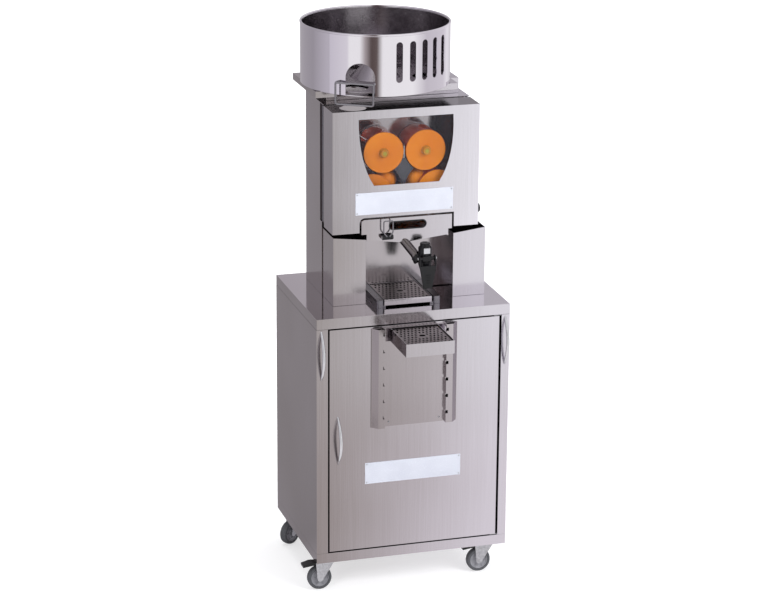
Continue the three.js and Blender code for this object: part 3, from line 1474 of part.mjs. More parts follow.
addPiece('hood', hoodShell(), brushedSteel);
addPiece('hood_window', hoodWindow(), clearPane);
addPiece('hood_knob', hoodKnob(), blackPlastic);
addPiece('hood_hinge', hoodHinge(), darkSteel);
addPiece('left_peel_bin', peelBin(binLeftX, true), brushedSteel);
addPiece('right_peel_bin', peelBin(binRightX, false), brushedSteel);

addPiece('juice_tank', juiceTank(), brushedSteel);
addPiece('tank_strainer', tankStrainer(), brushedSteel);
addPiece('tap_body', tapBody(), blackPlastic);
addPiece('tap_lever', tapLever(), blackPlastic);
addPiece('clip_wire', clipWire(), chrome);
addPiece('clip_roller', clipRoller(), blackPlastic);
addPiece('tray_rails', trayRails(), brushedSteel);
addPiece('drip_tray', dripTray(), brushedSteel);
addPiece('drip_tray_grate', dripTrayGrate(), brushedSteel);

addPiece('feeder_plate', feederPlate(), brushedSteel);
addPiece('feed_basket', fruitBasket(), brushedSteel);
addPiece('feed_rotor', feedRotor(), brushedSteel);
addPiece('basket_guard', basketGuard(), chrome);

// Origin on the floor under the middle of the machine
const machine = new THREE.Group();
machine.add(model);
const extent = new THREE.Box3().setFromObject(machine, true);
const middle = extent.getCenter(new THREE.Vector3());
model.position.set(-middle.x, -middle.y, -extent.min.z);

export default machine;
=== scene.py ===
"""Looks of the automatic orange juicer: its sheet steel, orange drums, basket, tap and casters.

Pieces are modelled in millimetres from the cabinet's front left corner on the floor: x runs right,
y runs back and z runs up. The last step of each piece moves it into the frame, in metres.
"""
import json
from math import atan2, cos, hypot, pi, radians, sin

import bmesh
import bpy
from mathutils import Euler, Matrix, Vector


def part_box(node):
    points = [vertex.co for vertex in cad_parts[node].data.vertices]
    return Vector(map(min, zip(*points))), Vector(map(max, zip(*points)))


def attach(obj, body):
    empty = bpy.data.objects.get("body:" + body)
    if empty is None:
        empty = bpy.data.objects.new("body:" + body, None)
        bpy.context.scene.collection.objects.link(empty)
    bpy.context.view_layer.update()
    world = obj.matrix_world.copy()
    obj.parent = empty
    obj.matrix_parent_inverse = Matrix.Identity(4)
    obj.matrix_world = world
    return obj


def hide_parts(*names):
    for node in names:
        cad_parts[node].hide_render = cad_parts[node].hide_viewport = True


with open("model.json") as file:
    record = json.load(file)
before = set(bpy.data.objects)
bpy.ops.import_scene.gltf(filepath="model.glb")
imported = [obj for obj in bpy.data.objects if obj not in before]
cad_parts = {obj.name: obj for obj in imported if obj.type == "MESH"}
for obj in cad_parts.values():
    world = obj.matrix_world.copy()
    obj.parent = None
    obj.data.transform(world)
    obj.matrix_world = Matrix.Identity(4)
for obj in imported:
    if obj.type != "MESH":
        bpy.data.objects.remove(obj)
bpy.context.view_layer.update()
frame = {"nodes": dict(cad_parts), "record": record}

MM = 0.001
corner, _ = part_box("cabinet_body")
TO_FRAME = Matrix.Translation((corner.x, corner.y, 0)) @ Matrix.Scale(MM, 4)
TO_MM = TO_FRAME.inverted()
link = bpy.context.scene.collection.objects.link
BODY_OF = {n: body for body, names in frame["record"]["behaviour"]["bodies"].items() for n in names}


def mm_box(node):
    """Lowest and highest corner of a CAD node, in millimetres from the cabinet's corner."""
    low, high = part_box(node)
    return TO_MM @ low, TO_MM @ high


# Finishes. Grains are in waves per metre along x, y and z, so 420 is a line every 2 to 3 mm.
UPRIGHT_GRAIN, CROSS_GRAIN, MILL_GRAIN = (420, 420, 5), (5, 420, 420), (40, 40, 40)
# Where sheet steel is at its warmest, with the most painted shade, and at its coolest, with the most painted
# light, in metres along x
SHADED_SIDE, LIT_SIDE = -0.3, 0.26


def colour(hexa):
    """An sRGB hex colour as linear RGBA."""
    parts = [int(hexa[i:i + 2], 16) / 255 for i in (1, 3, 5)]
    return [c / 12.92 if c <= 0.04045 else ((c + 0.055) / 1.055) ** 2.4 for c in parts] + [1]


def feed(tree, node, inputs):
    """Feeds a node's inputs, in order or by name, with values, outputs or nodes (their first output)."""
    for socket, source in inputs.items() if isinstance(inputs, dict) else enumerate(inputs):
        if isinstance(source, bpy.types.Node):
            source = source.outputs[0]
        if isinstance(source, bpy.types.NodeSocket):
            tree.links.new(source, node.inputs[socket])
        else:
            node.inputs[socket].default_value = source


def add(tree, kind, inputs=(), **settings):
    """One shader node, with what feeds its inputs and its settings.

    A map range is fed in order: the value, the range it comes from and the range it goes to.
    A mix of colours has its share at 0, the colours at 6 and 7, and comes out at 2.
    """
    node = tree.nodes.new("ShaderNode" + kind)
    for name, value in settings.items():
        setattr(node, name, value)
    feed(tree, node, inputs)
    return node


def new_finish(name, **values):
    """A material with its shader, whose own sockets take the values that are the same all over."""
    material = bpy.data.materials.new(name)
    material.use_nodes = True
    tree = material.node_tree
    shader = tree.nodes["Principled BSDF"]
    for socket, value in values.items():
        shader.inputs[socket.replace("_", " ")].default_value = value
    place = add(tree, "TexCoord").outputs["Object"]
    return material, tree, shader, place


def sheet_steel(name, left, right, rough, grain=UPRIGHT_GRAIN, depth=0.01):
    """Stainless sheet, 1.4301, brushed along one way: fine drawn lines, a slow random change of tone, and
    painted shade at the left that turns into painted light at the right.

    Real lines are 0.1 mm apart. These are coarser, to show on the whole machine.
    """
    material, tree, shader, place = new_finish(name, Metallic=1)
    lines = add(tree, "TexNoise", {
        "Vector": add(tree, "Mapping", {"Vector": place, "Scale": grain}),
        "Scale": 1, "Detail": 3, "Roughness": 0.6})
    clouds = add(tree, "TexNoise", {"Vector": place, "Scale": 2.6, "Detail": 1})
    across = add(tree, "SeparateXYZ", {"Vector": place})
    # Painted shade at the left turning into painted light at the right, along x
    shade_to_light = add(tree, "MapRange", (across, SHADED_SIDE, LIT_SIDE, 0, 0.92))
    cloudy = add(tree, "MapRange", (clouds, 0.3, 0.7, -0.08, 0.08))
    lined = add(tree, "MapRange", (lines, 0.3, 0.7, 0, 0.09))
    tone = add(tree, "Math", (shade_to_light, cloudy), operation="ADD")
    share = add(tree, "Math", (tone, lined), operation="ADD", use_clamp=True)
    base = add(tree, "Mix", {0: share, 6: colour(left), 7: colour(right)}, data_type="RGBA").outputs[2]
    dull = add(tree, "MapRange", (lines, 0.25, 0.75, rough - 0.04, rough + 0.06))
    bump = add(tree, "Bump", {"Height": lines, "Strength": depth, "Distance": 0.0004})
    feed(tree, shader, {"Base Color": base, "Roughness": dull, "Normal": bump})
    return material


def bright_metal(name, base, rough, spots=90, spread=0.05):
    """Plated or polished metal: even colour, with faint handling marks that dull it in places."""
    material, tree, shader, place = new_finish(name, Metallic=1)
    marks = add(tree, "TexNoise", {"Vector": place, "Scale": spots, "Detail": 4})
    tint = add(tree, "HueSaturation", {
        "Color": colour(base),
        "Value": add(tree, "MapRange", (marks, 0.3, 0.7, 0.94, 1.04))})
    dull = add(tree, "MapRange", (marks, 0.3, 0.7, rough, rough + spread))
    feed(tree, shader, {"Base Color": tint, "Roughness": dull})
    return material


def zinc_plate():
    """Zinc-plated pressed steel of the caster forks: grey, with a crystal pattern about 5 mm across."""
    material, tree, shader, place = new_finish("zinc plated steel", Metallic=1)
    cells = add(tree, "TexVoronoi", {"Vector": place, "Scale": 200}).outputs["Color"]
    level = add(tree, "RGBToBW", {"Color": cells})
    base = add(tree, "Mix", {0: level, 6: colour("#A9AAAE"), 7: colour("#C9CACE")}, data_type="RGBA").outputs[2]
    dull = add(tree, "MapRange", {"Value": level, "To Min": 0.3, "To Max": 0.42})
    feed(tree, shader, {"Base Color": base, "Roughness": dull})
    return material


def moulded(name, base, other, rough, grain=900, depth=0.15, **values):
    """Moulded plastic or rubber: a slow change of tone in the mass and a fine moulded grain.

    A grain of 900 waves per metre is about 1 mm. The tone changes every 80 mm or so.
    """
    material, tree, shader, place = new_finish(name, **values)
    clouds = add(tree, "TexNoise", {"Vector": place, "Scale": 12, "Detail": 2})
    share = add(tree, "MapRange", {"Value": clouds, "From Min": 0.35, "From Max": 0.65})
    tone = add(tree, "Mix", {0: share, 6: colour(base), 7: colour(other)}, data_type="RGBA").outputs[2]
    pits = add(tree, "TexNoise", {"Vector": place, "Scale": grain, "Detail": 2})
    dull = add(tree, "MapRange", (pits, 0.3, 0.7, rough - 0.03, rough + 0.05))
    bump = add(tree, "Bump", {"Height": pits, "Strength": depth, "Distance": 0.0002})
    feed(tree, shader, {"Base Color": tone, "Roughness": dull, "Normal": bump})
    return material


def pane_clear():
    """Clear polycarbonate of the hood window: faintly grey, with light reflections."""
    material, tree, shader, place = new_finish("clear polycarbonate", Roughness=0.03, Alpha=0.08,
                                               Specular_IOR_Level=0.2)
    haze = add(tree, "TexNoise", {"Vector": place, "Scale": 6, "Detail": 1})
    tone = add(tree, "Mix", {0: haze, 6: colour("#66646C"), 7: colour("#716F78")}, data_type="RGBA").outputs[2]
    feed(tree, shader, {"Base Color": tone})
    return material


# Cabinet, housing, bins and tank: brushed up and down, warm grey and darker at the left as painted shade,
# cooler and paler at the right as painted light
panel_steel = sheet_steel("brushed stainless sheet", "#958D8B", "#D7D3DB", 0.15)
# Hood: the same sheet, with painted shade at the left and a painted reflection that brightens it towards its
# right edge
hood_steel = sheet_steel("brushed hood sheet", "#8F8888", "#E8E5ED", 0.15)
# Notched bracket on the door: the same brushed sheet from a duller roll
bracket_steel = sheet_steel("brushed bracket sheet", "#877E7C", "#C4BEC3", 0.19)
# Worktop and other flat tops: brushed from left to right, nearly a mirror at a low angle, and paler than the
# sides as painted light
lit_top_steel = sheet_steel("brushed stainless top, painted light", "#CBC4C7", "#E2DEE4", 0.07, grain=CROSS_GRAIN)
# Hood's top: brushed the same way, and darkened as painted shade, because the feeder hangs close over it
feeder_shade_steel = sheet_steel("brushed stainless in the feeder's painted shade", "#575256", "#7B767B", 0.12,
                             grain=CROSS_GRAIN)
# Bay wall behind the tap: bright annealed, a near mirror that repeats the tray
bay_steel = sheet_steel("bright annealed sheet", "#A8A1A4", "#BDB8BC", 0.13,
                        grain=(200, 200, 6), depth=0.004)
# Inside faces of the bins: mill finish, darkened as painted shade
bin_shade_steel = sheet_steel("mill finish stainless in painted shade", "#453F40", "#524B4C", 0.32, grain=MILL_GRAIN)
# Steel under the grates: near black as painted shade, because little light comes through the holes
under_grate_shade_steel = sheet_steel("mill steel in painted shade", "#141213", "#1C1A1B", 0.35, grain=MILL_GRAIN)
# Inside of the basket and its turning plate: satin, so that no white patch shows in the arch
satin_steel = sheet_steel("satin stainless", "#A39DA2", "#B9B3B9", 0.22, grain=(60, 60, 60))
# Perforated plates: bead blasted, so they don't mirror the tap
grate_steel = sheet_steel("blasted stainless", "#A79E9F", "#B8B0B2", 0.38, grain=(70, 70, 70))
# Tray rails: darker pressed steel
rail_steel = sheet_steel("pressed tray steel", "#77757A", "#8C8A90", 0.28, grain=(90, 9, 90))
# Basket: polished, so that it shows the room in upright bands
basket_steel = sheet_steel("polished stainless", "#DFDBE1", "#EAE6EC", 0.06,
                           grain=(120, 120, 4), depth=0.004)
# Spout: drawn tube, grey and a little dull
spout_steel = sheet_steel("drawn steel tube", "#655F5F", "#7D7777", 0.24, grain=(300, 60, 60))
# Bow handles, blade and pin ends: hard chrome
chrome = bright_metal("chrome plate", "#DADBDE", 0.05)
# Drawn wire of the guard and the clip: greyer than the chrome of the handles
wire_steel = bright_metal("drawn stainless wire", "#8E8C91", 0.16)
# Tab on the tap: bright rolled plate that catches the light
bright_plate = bright_metal("bright plate steel", "#CFCFD4", 0.16)
# Shafts and gears: machined steel, slightly oiled
gear_steel = bright_metal("machined steel", "#77757A", 0.32, spots=220, spread=0.12)
# Bearing bosses: sintered brass, dull yellow
bearing_brass = bright_metal("bearing brass", "#B08D4A", 0.34, spots=160)
zinc = zinc_plate()
# Discs and balls of the press drums: glossy polycarbonate, orange to the core
drum_orange = moulded("orange polycarbonate", "#E98A0E", "#DC7B06", 0.22, grain=500, depth=0.04,
                      Specular_IOR_Level=0.3)
# The drums' sides are the same orange plastic, painted dark red as the shade of the dim hood around them
drum_shade_red = moulded("orange polycarbonate in painted shade", "#B03C1A", "#C45026", 0.18, grain=500, depth=0.04,
                   Coat_Weight=0.3, Coat_Roughness=0.08)
# Nuts on the drums: glass-filled nylon, a dull amber, with an olive end that is a painted highlight
knob_amber = moulded("amber nylon", "#C98A1E", "#B97C18", 0.32)
knob_highlight_olive = moulded("olive nylon, painted highlight", "#B7A93A", "#A59A34", 0.36)
# Wedge between the drums: machined acetal, dark and waxy
wedge_grey = moulded("slate acetal", "#3B3D44", "#4A4C53", 0.26, grain=700)
# Tap, knob and pedals: moulded nylon, black with a soft gloss
black_abs = moulded("black nylon", "#0B0B0D", "#141417", 0.3, Specular_IOR_Level=0.35)
# Edge strip and clip grip: matt black rubber
slot_rubber = moulded("black edge rubber", "#1B1B1D", "#242427", 0.55)
# Wheels: a dry grey rubber tread on a paler nylon hub
tyre_rubber = moulded("grey rubber tread", "#4E4F53", "#5B5C60", 0.72, grain=600, depth=0.4)
hub_nylon = moulded("grey nylon hub", "#8C8C92", "#9C9CA2", 0.5)
# Motor: sprayed enamel with a slight orange peel
motor_paint = moulded("motor enamel", "#3B3F45", "#434850", 0.45, depth=0.3)
# Blank plates on door and hood: white enamel on aluminium, smooth and bluish white
plate_enamel = moulded("white enamel plate", "#D6D9E4", "#CDD0DC", 0.24, grain=300, depth=0.03)
window_clear = pane_clear()

# What the record calls a finish, where that isn't stainless_steel
SLOT_OF = {finish: slot for slot, finishes in {
    "polished_steel": [chrome, wire_steel, bright_plate], "dark_steel": [gear_steel],
    "bearing_brass": [bearing_brass], "zinc_plate": [zinc], "motor_paint": [motor_paint],
    "orange_plastic": [drum_orange, drum_shade_red, knob_amber, knob_highlight_olive], "clear_plastic": [window_clear],
    "grey_plastic": [wedge_grey, hub_nylon], "black_plastic": [black_abs, slot_rubber],
    "grey_rubber": [tyre_rubber],
}.items() for finish in finishes}


# Shaping
ALONG_Y = Matrix.Rotation(-pi / 2, 4, "X")
ALONG_X = Matrix.Rotation(pi / 2, 4, "Y")


def moved(x, y, z, turn=None):
    """A move to a place, after an optional turn."""
    return Matrix.Translation((x, y, z)) @ (turn or Matrix.Identity(4))


def mirrored(half):
    """A profile below height 0, made whole by its mirror image above."""
    return half + [(radius, -height) for radius, height in reversed(half) if height]


def turned(profile, steps, place):
    """A profile of (radius, height) spun about the upright axis into a closed body."""
    bm = bmesh.new()
    points = [bm.verts.new((radius, 0, height)) for radius, height in profile]
    for one, other in zip(points, points[1:]):
        bm.edges.new((one, other))
    bmesh.ops.spin(bm, geom=bm.verts[:] + bm.edges[:], cent=(0, 0, 0), axis=(0, 0, 1), dvec=(0, 0, 0),
                   angle=2 * pi, steps=steps, use_merge=True, use_duplicate=False)
    bmesh.ops.remove_doubles(bm, verts=bm.verts, dist=1e-4)
    bmesh.ops.dissolve_degenerate(bm, edges=bm.edges, dist=1e-5)
    bmesh.ops.recalc_face_normals(bm, faces=bm.faces)
    bm.transform(place)
    return bm


def cleaned(bm, reach):
    """Merges points that lie within reach and turns the faces outwards."""
    bmesh.ops.remove_doubles(bm, verts=bm.verts, dist=reach)
    bmesh.ops.recalc_face_normals(bm, faces=bm.faces)
    return bm


def soften(bm, width, angle=35):
    """Rounds the sharp outer edges of a body."""
    sharp = [e for e in bm.edges if e.is_manifold and e.calc_face_angle_signed(0) > radians(angle)]
    if sharp:
        bmesh.ops.bevel(bm, geom=sharp, offset=width, offset_type="OFFSET", segments=2, profile=0.5,
                        affect="EDGES", clamp_overlap=True, material=-1)
    return bm


def slab(x0, x1, y0, y1, z0, z1, width=0.6):
    """A block with softened edges."""
    bm = bmesh.new()
    bmesh.ops.create_cube(bm, size=1)
    bm.transform(moved((x0 + x1) / 2, (y0 + y1) / 2, (z0 + z1) / 2,
                       Matrix.Diagonal((x1 - x0, y1 - y0, z1 - z0, 1))))
    return soften(bm, width)


def as_mesh(bm, name="part"):
    """A body's mesh. The body is used up."""
    mesh = bpy.data.meshes.new(name)
    bm.to_mesh(mesh)
    bm.free()
    return mesh


def joined(*parts):
    """Several bodies as one."""
    whole = bmesh.new()
    for part in parts:
        mesh = as_mesh(part)
        whole.from_mesh(mesh)
        bpy.data.meshes.remove(mesh)
    return whole


def baked(obj):
    """The evaluated shape of a helper object as a bmesh. The helper is removed."""
    link(obj)
    depsgraph = bpy.context.evaluated_depsgraph_get()
    mesh = bpy.data.meshes.new_from_object(obj.evaluated_get(depsgraph), depsgraph=depsgraph)
    bm = bmesh.new()
    bm.from_mesh(mesh)
    bpy.data.meshes.remove(mesh)
    bpy.data.objects.remove(obj)
    return bm


def curve_object(kind, loops, closed=True):
    """A helper curve of straight steps through each loop of points, with its object."""
    curve = bpy.data.curves.new("path", "CURVE")
    curve.dimensions = kind
    for points in loops:
        spline = curve.splines.new("POLY")
        spline.points.add(len(points) - 1)
        for point, place in zip(spline.points, points):
            point.co = (*place, *[0] * (3 - len(place)), 1)
        spline.use_cyclic_u = closed
    return curve, bpy.data.objects.new("path", curve)


def cut_sheet(low, high, holes, thickness, middle_z):
    """An oblong plate cut from flat sheet between two corners, with holes of (x, y) points."""
    outline = [(low.x, low.y), (high.x, low.y), (high.x, high.y), (low.x, high.y)]
    curve, obj = curve_object("2D", [outline, *holes])
    curve.fill_mode = "BOTH"
    curve.extrude = thickness / 2
    bm = cleaned(baked(obj), 0.005)
    bm.transform(moved(0, 0, middle_z))
    return bm


def rod(points, radius, closed=False, thickness=None, resolution=5):
    """A round rod along points. thickness gives each point its share of the radius."""
    curve, obj = curve_object("3D", [points], closed)
    curve.bevel_depth = radius
    curve.bevel_resolution = resolution
    curve.use_fill_caps = True
    if thickness:
        for point, share in zip(curve.splines[0].points, thickness):
            point.radius = share
    return cleaned(baked(obj), 1e-3)


def arc(x, y, radius, angles):
    """Points at angles on a circle."""
    return [(x + radius * cos(a), y + radius * sin(a)) for a in angles]


def half_circle(x, y, radius, start, steps=10):
    """Points of half a circle from the angle start."""
    return arc(x, y, radius, [start + pi * i / steps for i in range(steps + 1)])


def slot_points(x, y, length, width, steps=10):
    """Points of a slot with round ends that lies along x."""
    reach, radius = (length - width) / 2, width / 2
    return (half_circle(x + reach, y, radius, -pi / 2, steps)
            + half_circle(x - reach, y, radius, pi / 2, steps))


def bent(points, radius, steps=6):
    """The points of a path with each inner corner rounded."""
    points = [Vector(point) for point in points]
    path = points[:1]
    for before, at, after in zip(points, points[1:], points[2:]):
        start = at + (before - at).normalized() * radius
        end = at + (after - at).normalized() * radius
        for i in range(steps + 1):
            t = i / steps
            path.append(start * (1 - t) ** 2 + at * 2 * t * (1 - t) + end * t ** 2)
    return path + points[-1:]


def carved(bm, *cutters):
    """A body with the cutters taken out of it."""
    for cutter in cutters:
        body, tool = (bpy.data.objects.new("carving", as_mesh(part)) for part in (bm, cutter))
        link(tool)
        cut = body.modifiers.new("cut", "BOOLEAN")
        cut.operation, cut.solver, cut.object = "DIFFERENCE", "EXACT", tool
        bm = baked(body)
        bpy.data.objects.remove(tool)
    return bm


def from_cad(node, width=0.6, angle=35):
    """A merged copy of a CAD node with softened edges."""
    bm = bmesh.new()
    bm.from_mesh(frame["nodes"][node].data)
    bm.transform(TO_MM)
    bmesh.ops.remove_doubles(bm, verts=bm.verts, dist=0.002)
    return soften(bm, width, angle)


def finished(name, bm, body, materials, stands_for=(), pick=None, weighted=True, angle=32):
    """Puts a body into the scene as a piece of the machine."""
    materials = materials if isinstance(materials, list) else [materials]
    if pick:
        for face in bm.faces:
            face.material_index = pick(face.calc_center_median(), face.normal)
    mesh = as_mesh(bm, name)
    mesh.transform(TO_FRAME)
    for material in materials:
        mesh.materials.append(material)
    mesh.shade_smooth()
    mesh.set_sharp_from_angle(angle=radians(angle))
    piece = bpy.data.objects.new(name, mesh)
    link(piece)
    if weighted:
        piece.modifiers.new("even faces", "WEIGHTED_NORMAL").keep_sharp = True
    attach(piece, body)
    SLOT_OF.get(materials[-1], "stainless_steel")
    if stands_for:
        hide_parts(*stands_for)
    return piece


def copied(name, node, materials, width=0.6, angle=35, pick=None):
    """A piece that is a CAD node with softened edges."""
    finished(name, from_cad(node, width, angle), BODY_OF[node], materials, [node], pick)


# Sheet metal
SHEET_PIECES = {
    # node: softened width, finish, finish of the faces that look up, a lighter or darker copy that paints light
    # or shade on them
    "cabinet_body": (0.7, panel_steel),
    "base_pan": (0.7, panel_steel),
    "worktop": (0.9, panel_steel, lit_top_steel),
    "door_panel": (0.9, panel_steel),
    "tray_rail_bracket": (0.5, bracket_steel),
    "housing_shell": (0.7, panel_steel),
    "rear_cover": (0.7, panel_steel),
    "main_plate": (0.5, bay_steel),
    "hood": (0.7, hood_steel, feeder_shade_steel),
    "feeder_plate": (0.7, panel_steel),
}
# Open boxes, with the darker finish that paints shade on the faces inside their walls
OPEN_BOXES = {
    "left_peel_bin": bin_shade_steel, "right_peel_bin": bin_shade_steel,
    "cup_tray": under_grate_shade_steel, "drip_tray": under_grate_shade_steel,
}
# Side walls of the cup tray, between the ends of its wider hanger
TRAY_LEFT, TRAY_RIGHT = 225, 373
# How far a face may lie from a box's outside and still belong to its wall
SKIN_NEAR, SKIN_FAR = 0.9, 2.6


def upward(at, normal):
    """Picks the faces that look up for the second material, which paints light or shade on the tops."""
    return int(normal.z > 0.7)


def inside_of(low, high):
    """Picks the faces inside an open box's walls for the second material, which paints shade there."""
    def pick(at, normal):
        depth = min(at.x - low.x, high.x - at.x, at.y - low.y, high.y - at.y)
        on_floor = at.z < low.z + SKIN_FAR and normal.z > 0.5
        return int(depth > SKIN_NEAR and at.z < high.z - 1 and (depth < SKIN_FAR or on_floor))
    return pick


def sheet_metal():
    """Folded sheets, bins and trays: copies of the solids with softened edges."""
    for node, (width, *materials) in SHEET_PIECES.items():
        copied(node + "_sheet", node, materials, width, pick=upward if len(materials) > 1 else None)
    for node, inside in OPEN_BOXES.items():
        low, high = mm_box(node)
        if node == "cup_tray":
            low.x, high.x = TRAY_LEFT, TRAY_RIGHT
        copied(node + "_sheet", node, [panel_steel, inside], pick=inside_of(low, high))
    copied("tray_rails_sheet", "tray_rails", rail_steel)


# Press drums: their axes as (x, z), and where discs and drums lie along y
UPPER_Z, LOWER_Z = 1328, 1203.08
DRUMS = {
    "upper_left": (243, UPPER_Z), "upper_right": (373, UPPER_Z),
    "lower_left": (207, LOWER_Z), "lower_right": (409, LOWER_Z),
}
DISC_FRONT, DISC_BACK, DRUM_BACK, DRUM_MIDDLE = 135, 139, 228, 183.5
# A ball meets its cup on the line between the left axes. At rest both stand BALL_LEAD away from it.
BALL_LEAD = radians(44)
MESH_TURN = atan2(UPPER_Z - LOWER_Z, DRUMS["upper_left"][0] - DRUMS["lower_left"][0])
BALL_TURN = MESH_TURN - BALL_LEAD
CUP_TURN = MESH_TURN + pi + BALL_LEAD
PITCH_RADIUS = 65
SHAFT_BORE, BALL_BORE = 8.3, 9
CUP_DRUM_RADIUS, BALL_DRUM_RADIUS = 60, 58
CUP_RADIUS, BALL_RADIUS = 38, 33
DISC_PROFILE = [
    (SHAFT_BORE, DISC_BACK), (61.5, DISC_BACK), (61.5, DISC_FRONT + 1.2), (61.1, DISC_FRONT + 0.4),
    (60.3, DISC_FRONT + 0.05), (58.5, DISC_FRONT + 0.05), (57.8, DISC_FRONT + 0.7), (20, DISC_FRONT + 0.7),
    (18.5, DISC_FRONT + 0.05), (SHAFT_BORE, DISC_FRONT + 0.05), (SHAFT_BORE, DISC_BACK),
]
NUT_PROFILE = [
    (0, 121.4), (5.2, 121.1), (5.6, 121.4), (5.9, 122.2), (6.6, 122.2), (7.2, 121.2), (10, 121),
    (11.4, 121.9), (12, 123.4), (12.3, 130), (13.4, 133), (14.7, 134.4), (14.6, 134.7), (SHAFT_BORE, 134.7),
    (SHAFT_BORE, 127.7), (0, 127.7),
]
SHAFT_CAP_PROFILE = [(0, 126.4), (4.5, 126.6), (7.2, 127.4), (7.8, 128), (0, 128)]


def around_drum(x, z, turn, radius):
    """The two balls or cups on a drum's rim."""
    balls = []
    for at_x, at_z in arc(x, z, PITCH_RADIUS, (turn, turn + pi)):
        bm = bmesh.new()
        bmesh.ops.create_uvsphere(bm, u_segments=56, v_segments=28, radius=radius)
        bm.transform(moved(at_x, DRUM_MIDDLE, at_z))
        balls.append(bm)
    return balls


def drum_core(radius, axis):
    """The drum behind its disc, with a small chamfer at the back."""
    front = DISC_BACK + 0.02
    return turned([(SHAFT_BORE, front), (radius, front), (radius, DRUM_BACK - 0.8), (radius - 0.8, DRUM_BACK),
                   (SHAFT_BORE, DRUM_BACK), (SHAFT_BORE, front)], 96, axis)


def cup_drum(name, x, z, turn, axis):
    """A drum with two hollow cups, and the nut on its shaft, whose olive eye is a painted highlight."""
    body = name + "_drum"
    core = carved(drum_core(CUP_DRUM_RADIUS, axis), *around_drum(x, z, turn, CUP_RADIUS))
    finished(body + "_core", soften(core, 0.6, 40), body, drum_shade_red, [body])
    finished(body + "_disc", turned(DISC_PROFILE, 112, axis), body, drum_orange)
    # The olive eye at the front of the nut is a painted highlight
    finished(name + "_knob_cap", turned(NUT_PROFILE, 48, axis), body, [knob_amber, knob_highlight_olive],
             [name + "_knob"], lambda at, normal: int(hypot(at.x - x, at.z - z) < 5.5 and at.y < 122),
             weighted=False)


def ball_drum(name, x, z, turn, axis):
    """A drum with two balls, and the rounded end of its shaft."""
    body = name + "_drum"
    finished(body + "_core", drum_core(BALL_DRUM_RADIUS, axis), body, drum_shade_red, [body])
    balls = carved(joined(*around_drum(x, z, turn, BALL_RADIUS)),
                   turned([(0, 0), (BALL_BORE, 0), (BALL_BORE, 300), (0, 300)], 48, axis))
    finished(body + "_balls", balls, body, drum_orange, weighted=False)
    finished(body + "_disc", turned(DISC_PROFILE, 112, axis), body, drum_orange)
    finished(name + "_shaft_cap", turned(SHAFT_CAP_PROFILE, 40, axis), body, gear_steel, weighted=False)


def press_drums():
    """Cup drums above and ball drums below. The right ones mirror the left ones."""
    for name, (x, z) in DRUMS.items():
        build, turn = (cup_drum, CUP_TURN) if name.startswith("upper") else (ball_drum, BALL_TURN)
        build(name, x, z, turn if name.endswith("left") else pi - turn, moved(x, 0, z, ALONG_Y))


# Basket, rotor and guard
BASKET_X, BASKET_Y, BASKET_R = 258, 280, 223
BASKET_Z0, BASKET_TOP = 1514.3, 1698
BASKET_AXIS = moved(BASKET_X, BASKET_Y, 0)
BASKET_WALL = 2
BASKET_MID = BASKET_R - BASKET_WALL / 2
WRAP_STRIPS = 180
# Fruit exit: its turn from the front, half its width, its sill and the height where its arch springs
ARCH_TURN, ARCH_HALF, ARCH_SILL, ARCH_SPRING = -27.7, 44, 2.4, 54
# Sight slots: turns from the front, half a slot's width and the middles of its round ends
SLOT_TURNS, SLOT_HALF, SLOT_LOW, SLOT_HIGH = (2, 13, 24, 35, 46), 10, 50, 150
RIM_RADIUS, RIM_INNER, RIM_INSET, RIM_STEPS = 3.5, 2.4, 1.8, 14
# Hole that an orange drops through to the hood
DROP_X, DROP_Y, DROP_R = 155, 160, 46
ROTOR_R, ROTOR_PLATE, CONE_HEIGHT, POCKETS = 214, 3, 60, 6
GUARD_TURN, GUARD_OFF, GUARD_REACH, GUARD_HALF = -31.5, 8, 28.5, 57


def basket_strip():
    """The wall cut flat, with the arch and the sight slots, as (arc length, height)."""
    half = pi * BASKET_MID
    z0, z1 = BASKET_Z0 + 1, BASKET_TOP - RIM_RADIUS
    at = radians(ARCH_TURN) * BASKET_MID
    arch = [(at - ARCH_HALF, BASKET_Z0 + ARCH_SILL), (at + ARCH_HALF, BASKET_Z0 + ARCH_SILL),
            *half_circle(at, BASKET_Z0 + ARCH_SPRING, ARCH_HALF, 0, 24)]
    slots = [half_circle(x, BASKET_Z0 + SLOT_LOW, SLOT_HALF, pi)
             + half_circle(x, BASKET_Z0 + SLOT_HIGH, SLOT_HALF, 0)
             for x in (radians(turn) * BASKET_MID for turn in SLOT_TURNS)]
    curve, obj = curve_object("2D", [[(-half, z0), (half, z0), (half, z1), (-half, z1)], arch, *slots])
    curve.fill_mode = "FRONT"
    return baked(obj), half


def basket_wall():
    """Wraps the strip into a cylinder and gives it its wall."""
    bm, half = basket_strip()
    bmesh.ops.remove_doubles(bm, verts=bm.verts, dist=0.005)
    for i in range(1, WRAP_STRIPS):
        bmesh.ops.bisect_plane(bm, geom=bm.verts[:] + bm.edges[:] + bm.faces[:], dist=1e-4,
                               plane_co=(-half + 2 * half * i / WRAP_STRIPS, 0, 0), plane_no=(1, 0, 0))
    for v in bm.verts:
        turn = v.co.x / BASKET_MID
        v.co = (BASKET_MID * sin(turn), -BASKET_MID * cos(turn), v.co.y)
    cleaned(bm, 0.01)
    sample = max(bm.faces, key=lambda f: f.calc_area())
    if sample.normal.xy.dot(sample.calc_center_median().xy) < 0:
        bmesh.ops.reverse_faces(bm, faces=bm.faces)
    bmesh.ops.solidify(bm, geom=bm.faces[:], thickness=BASKET_WALL)
    for v in bm.verts:
        radius = BASKET_R - BASKET_WALL if v.co.xy.length < BASKET_MID - 0.2 else BASKET_R
        v.co.xy = v.co.xy.normalized() * radius
    bm.transform(BASKET_AXIS)
    return bm


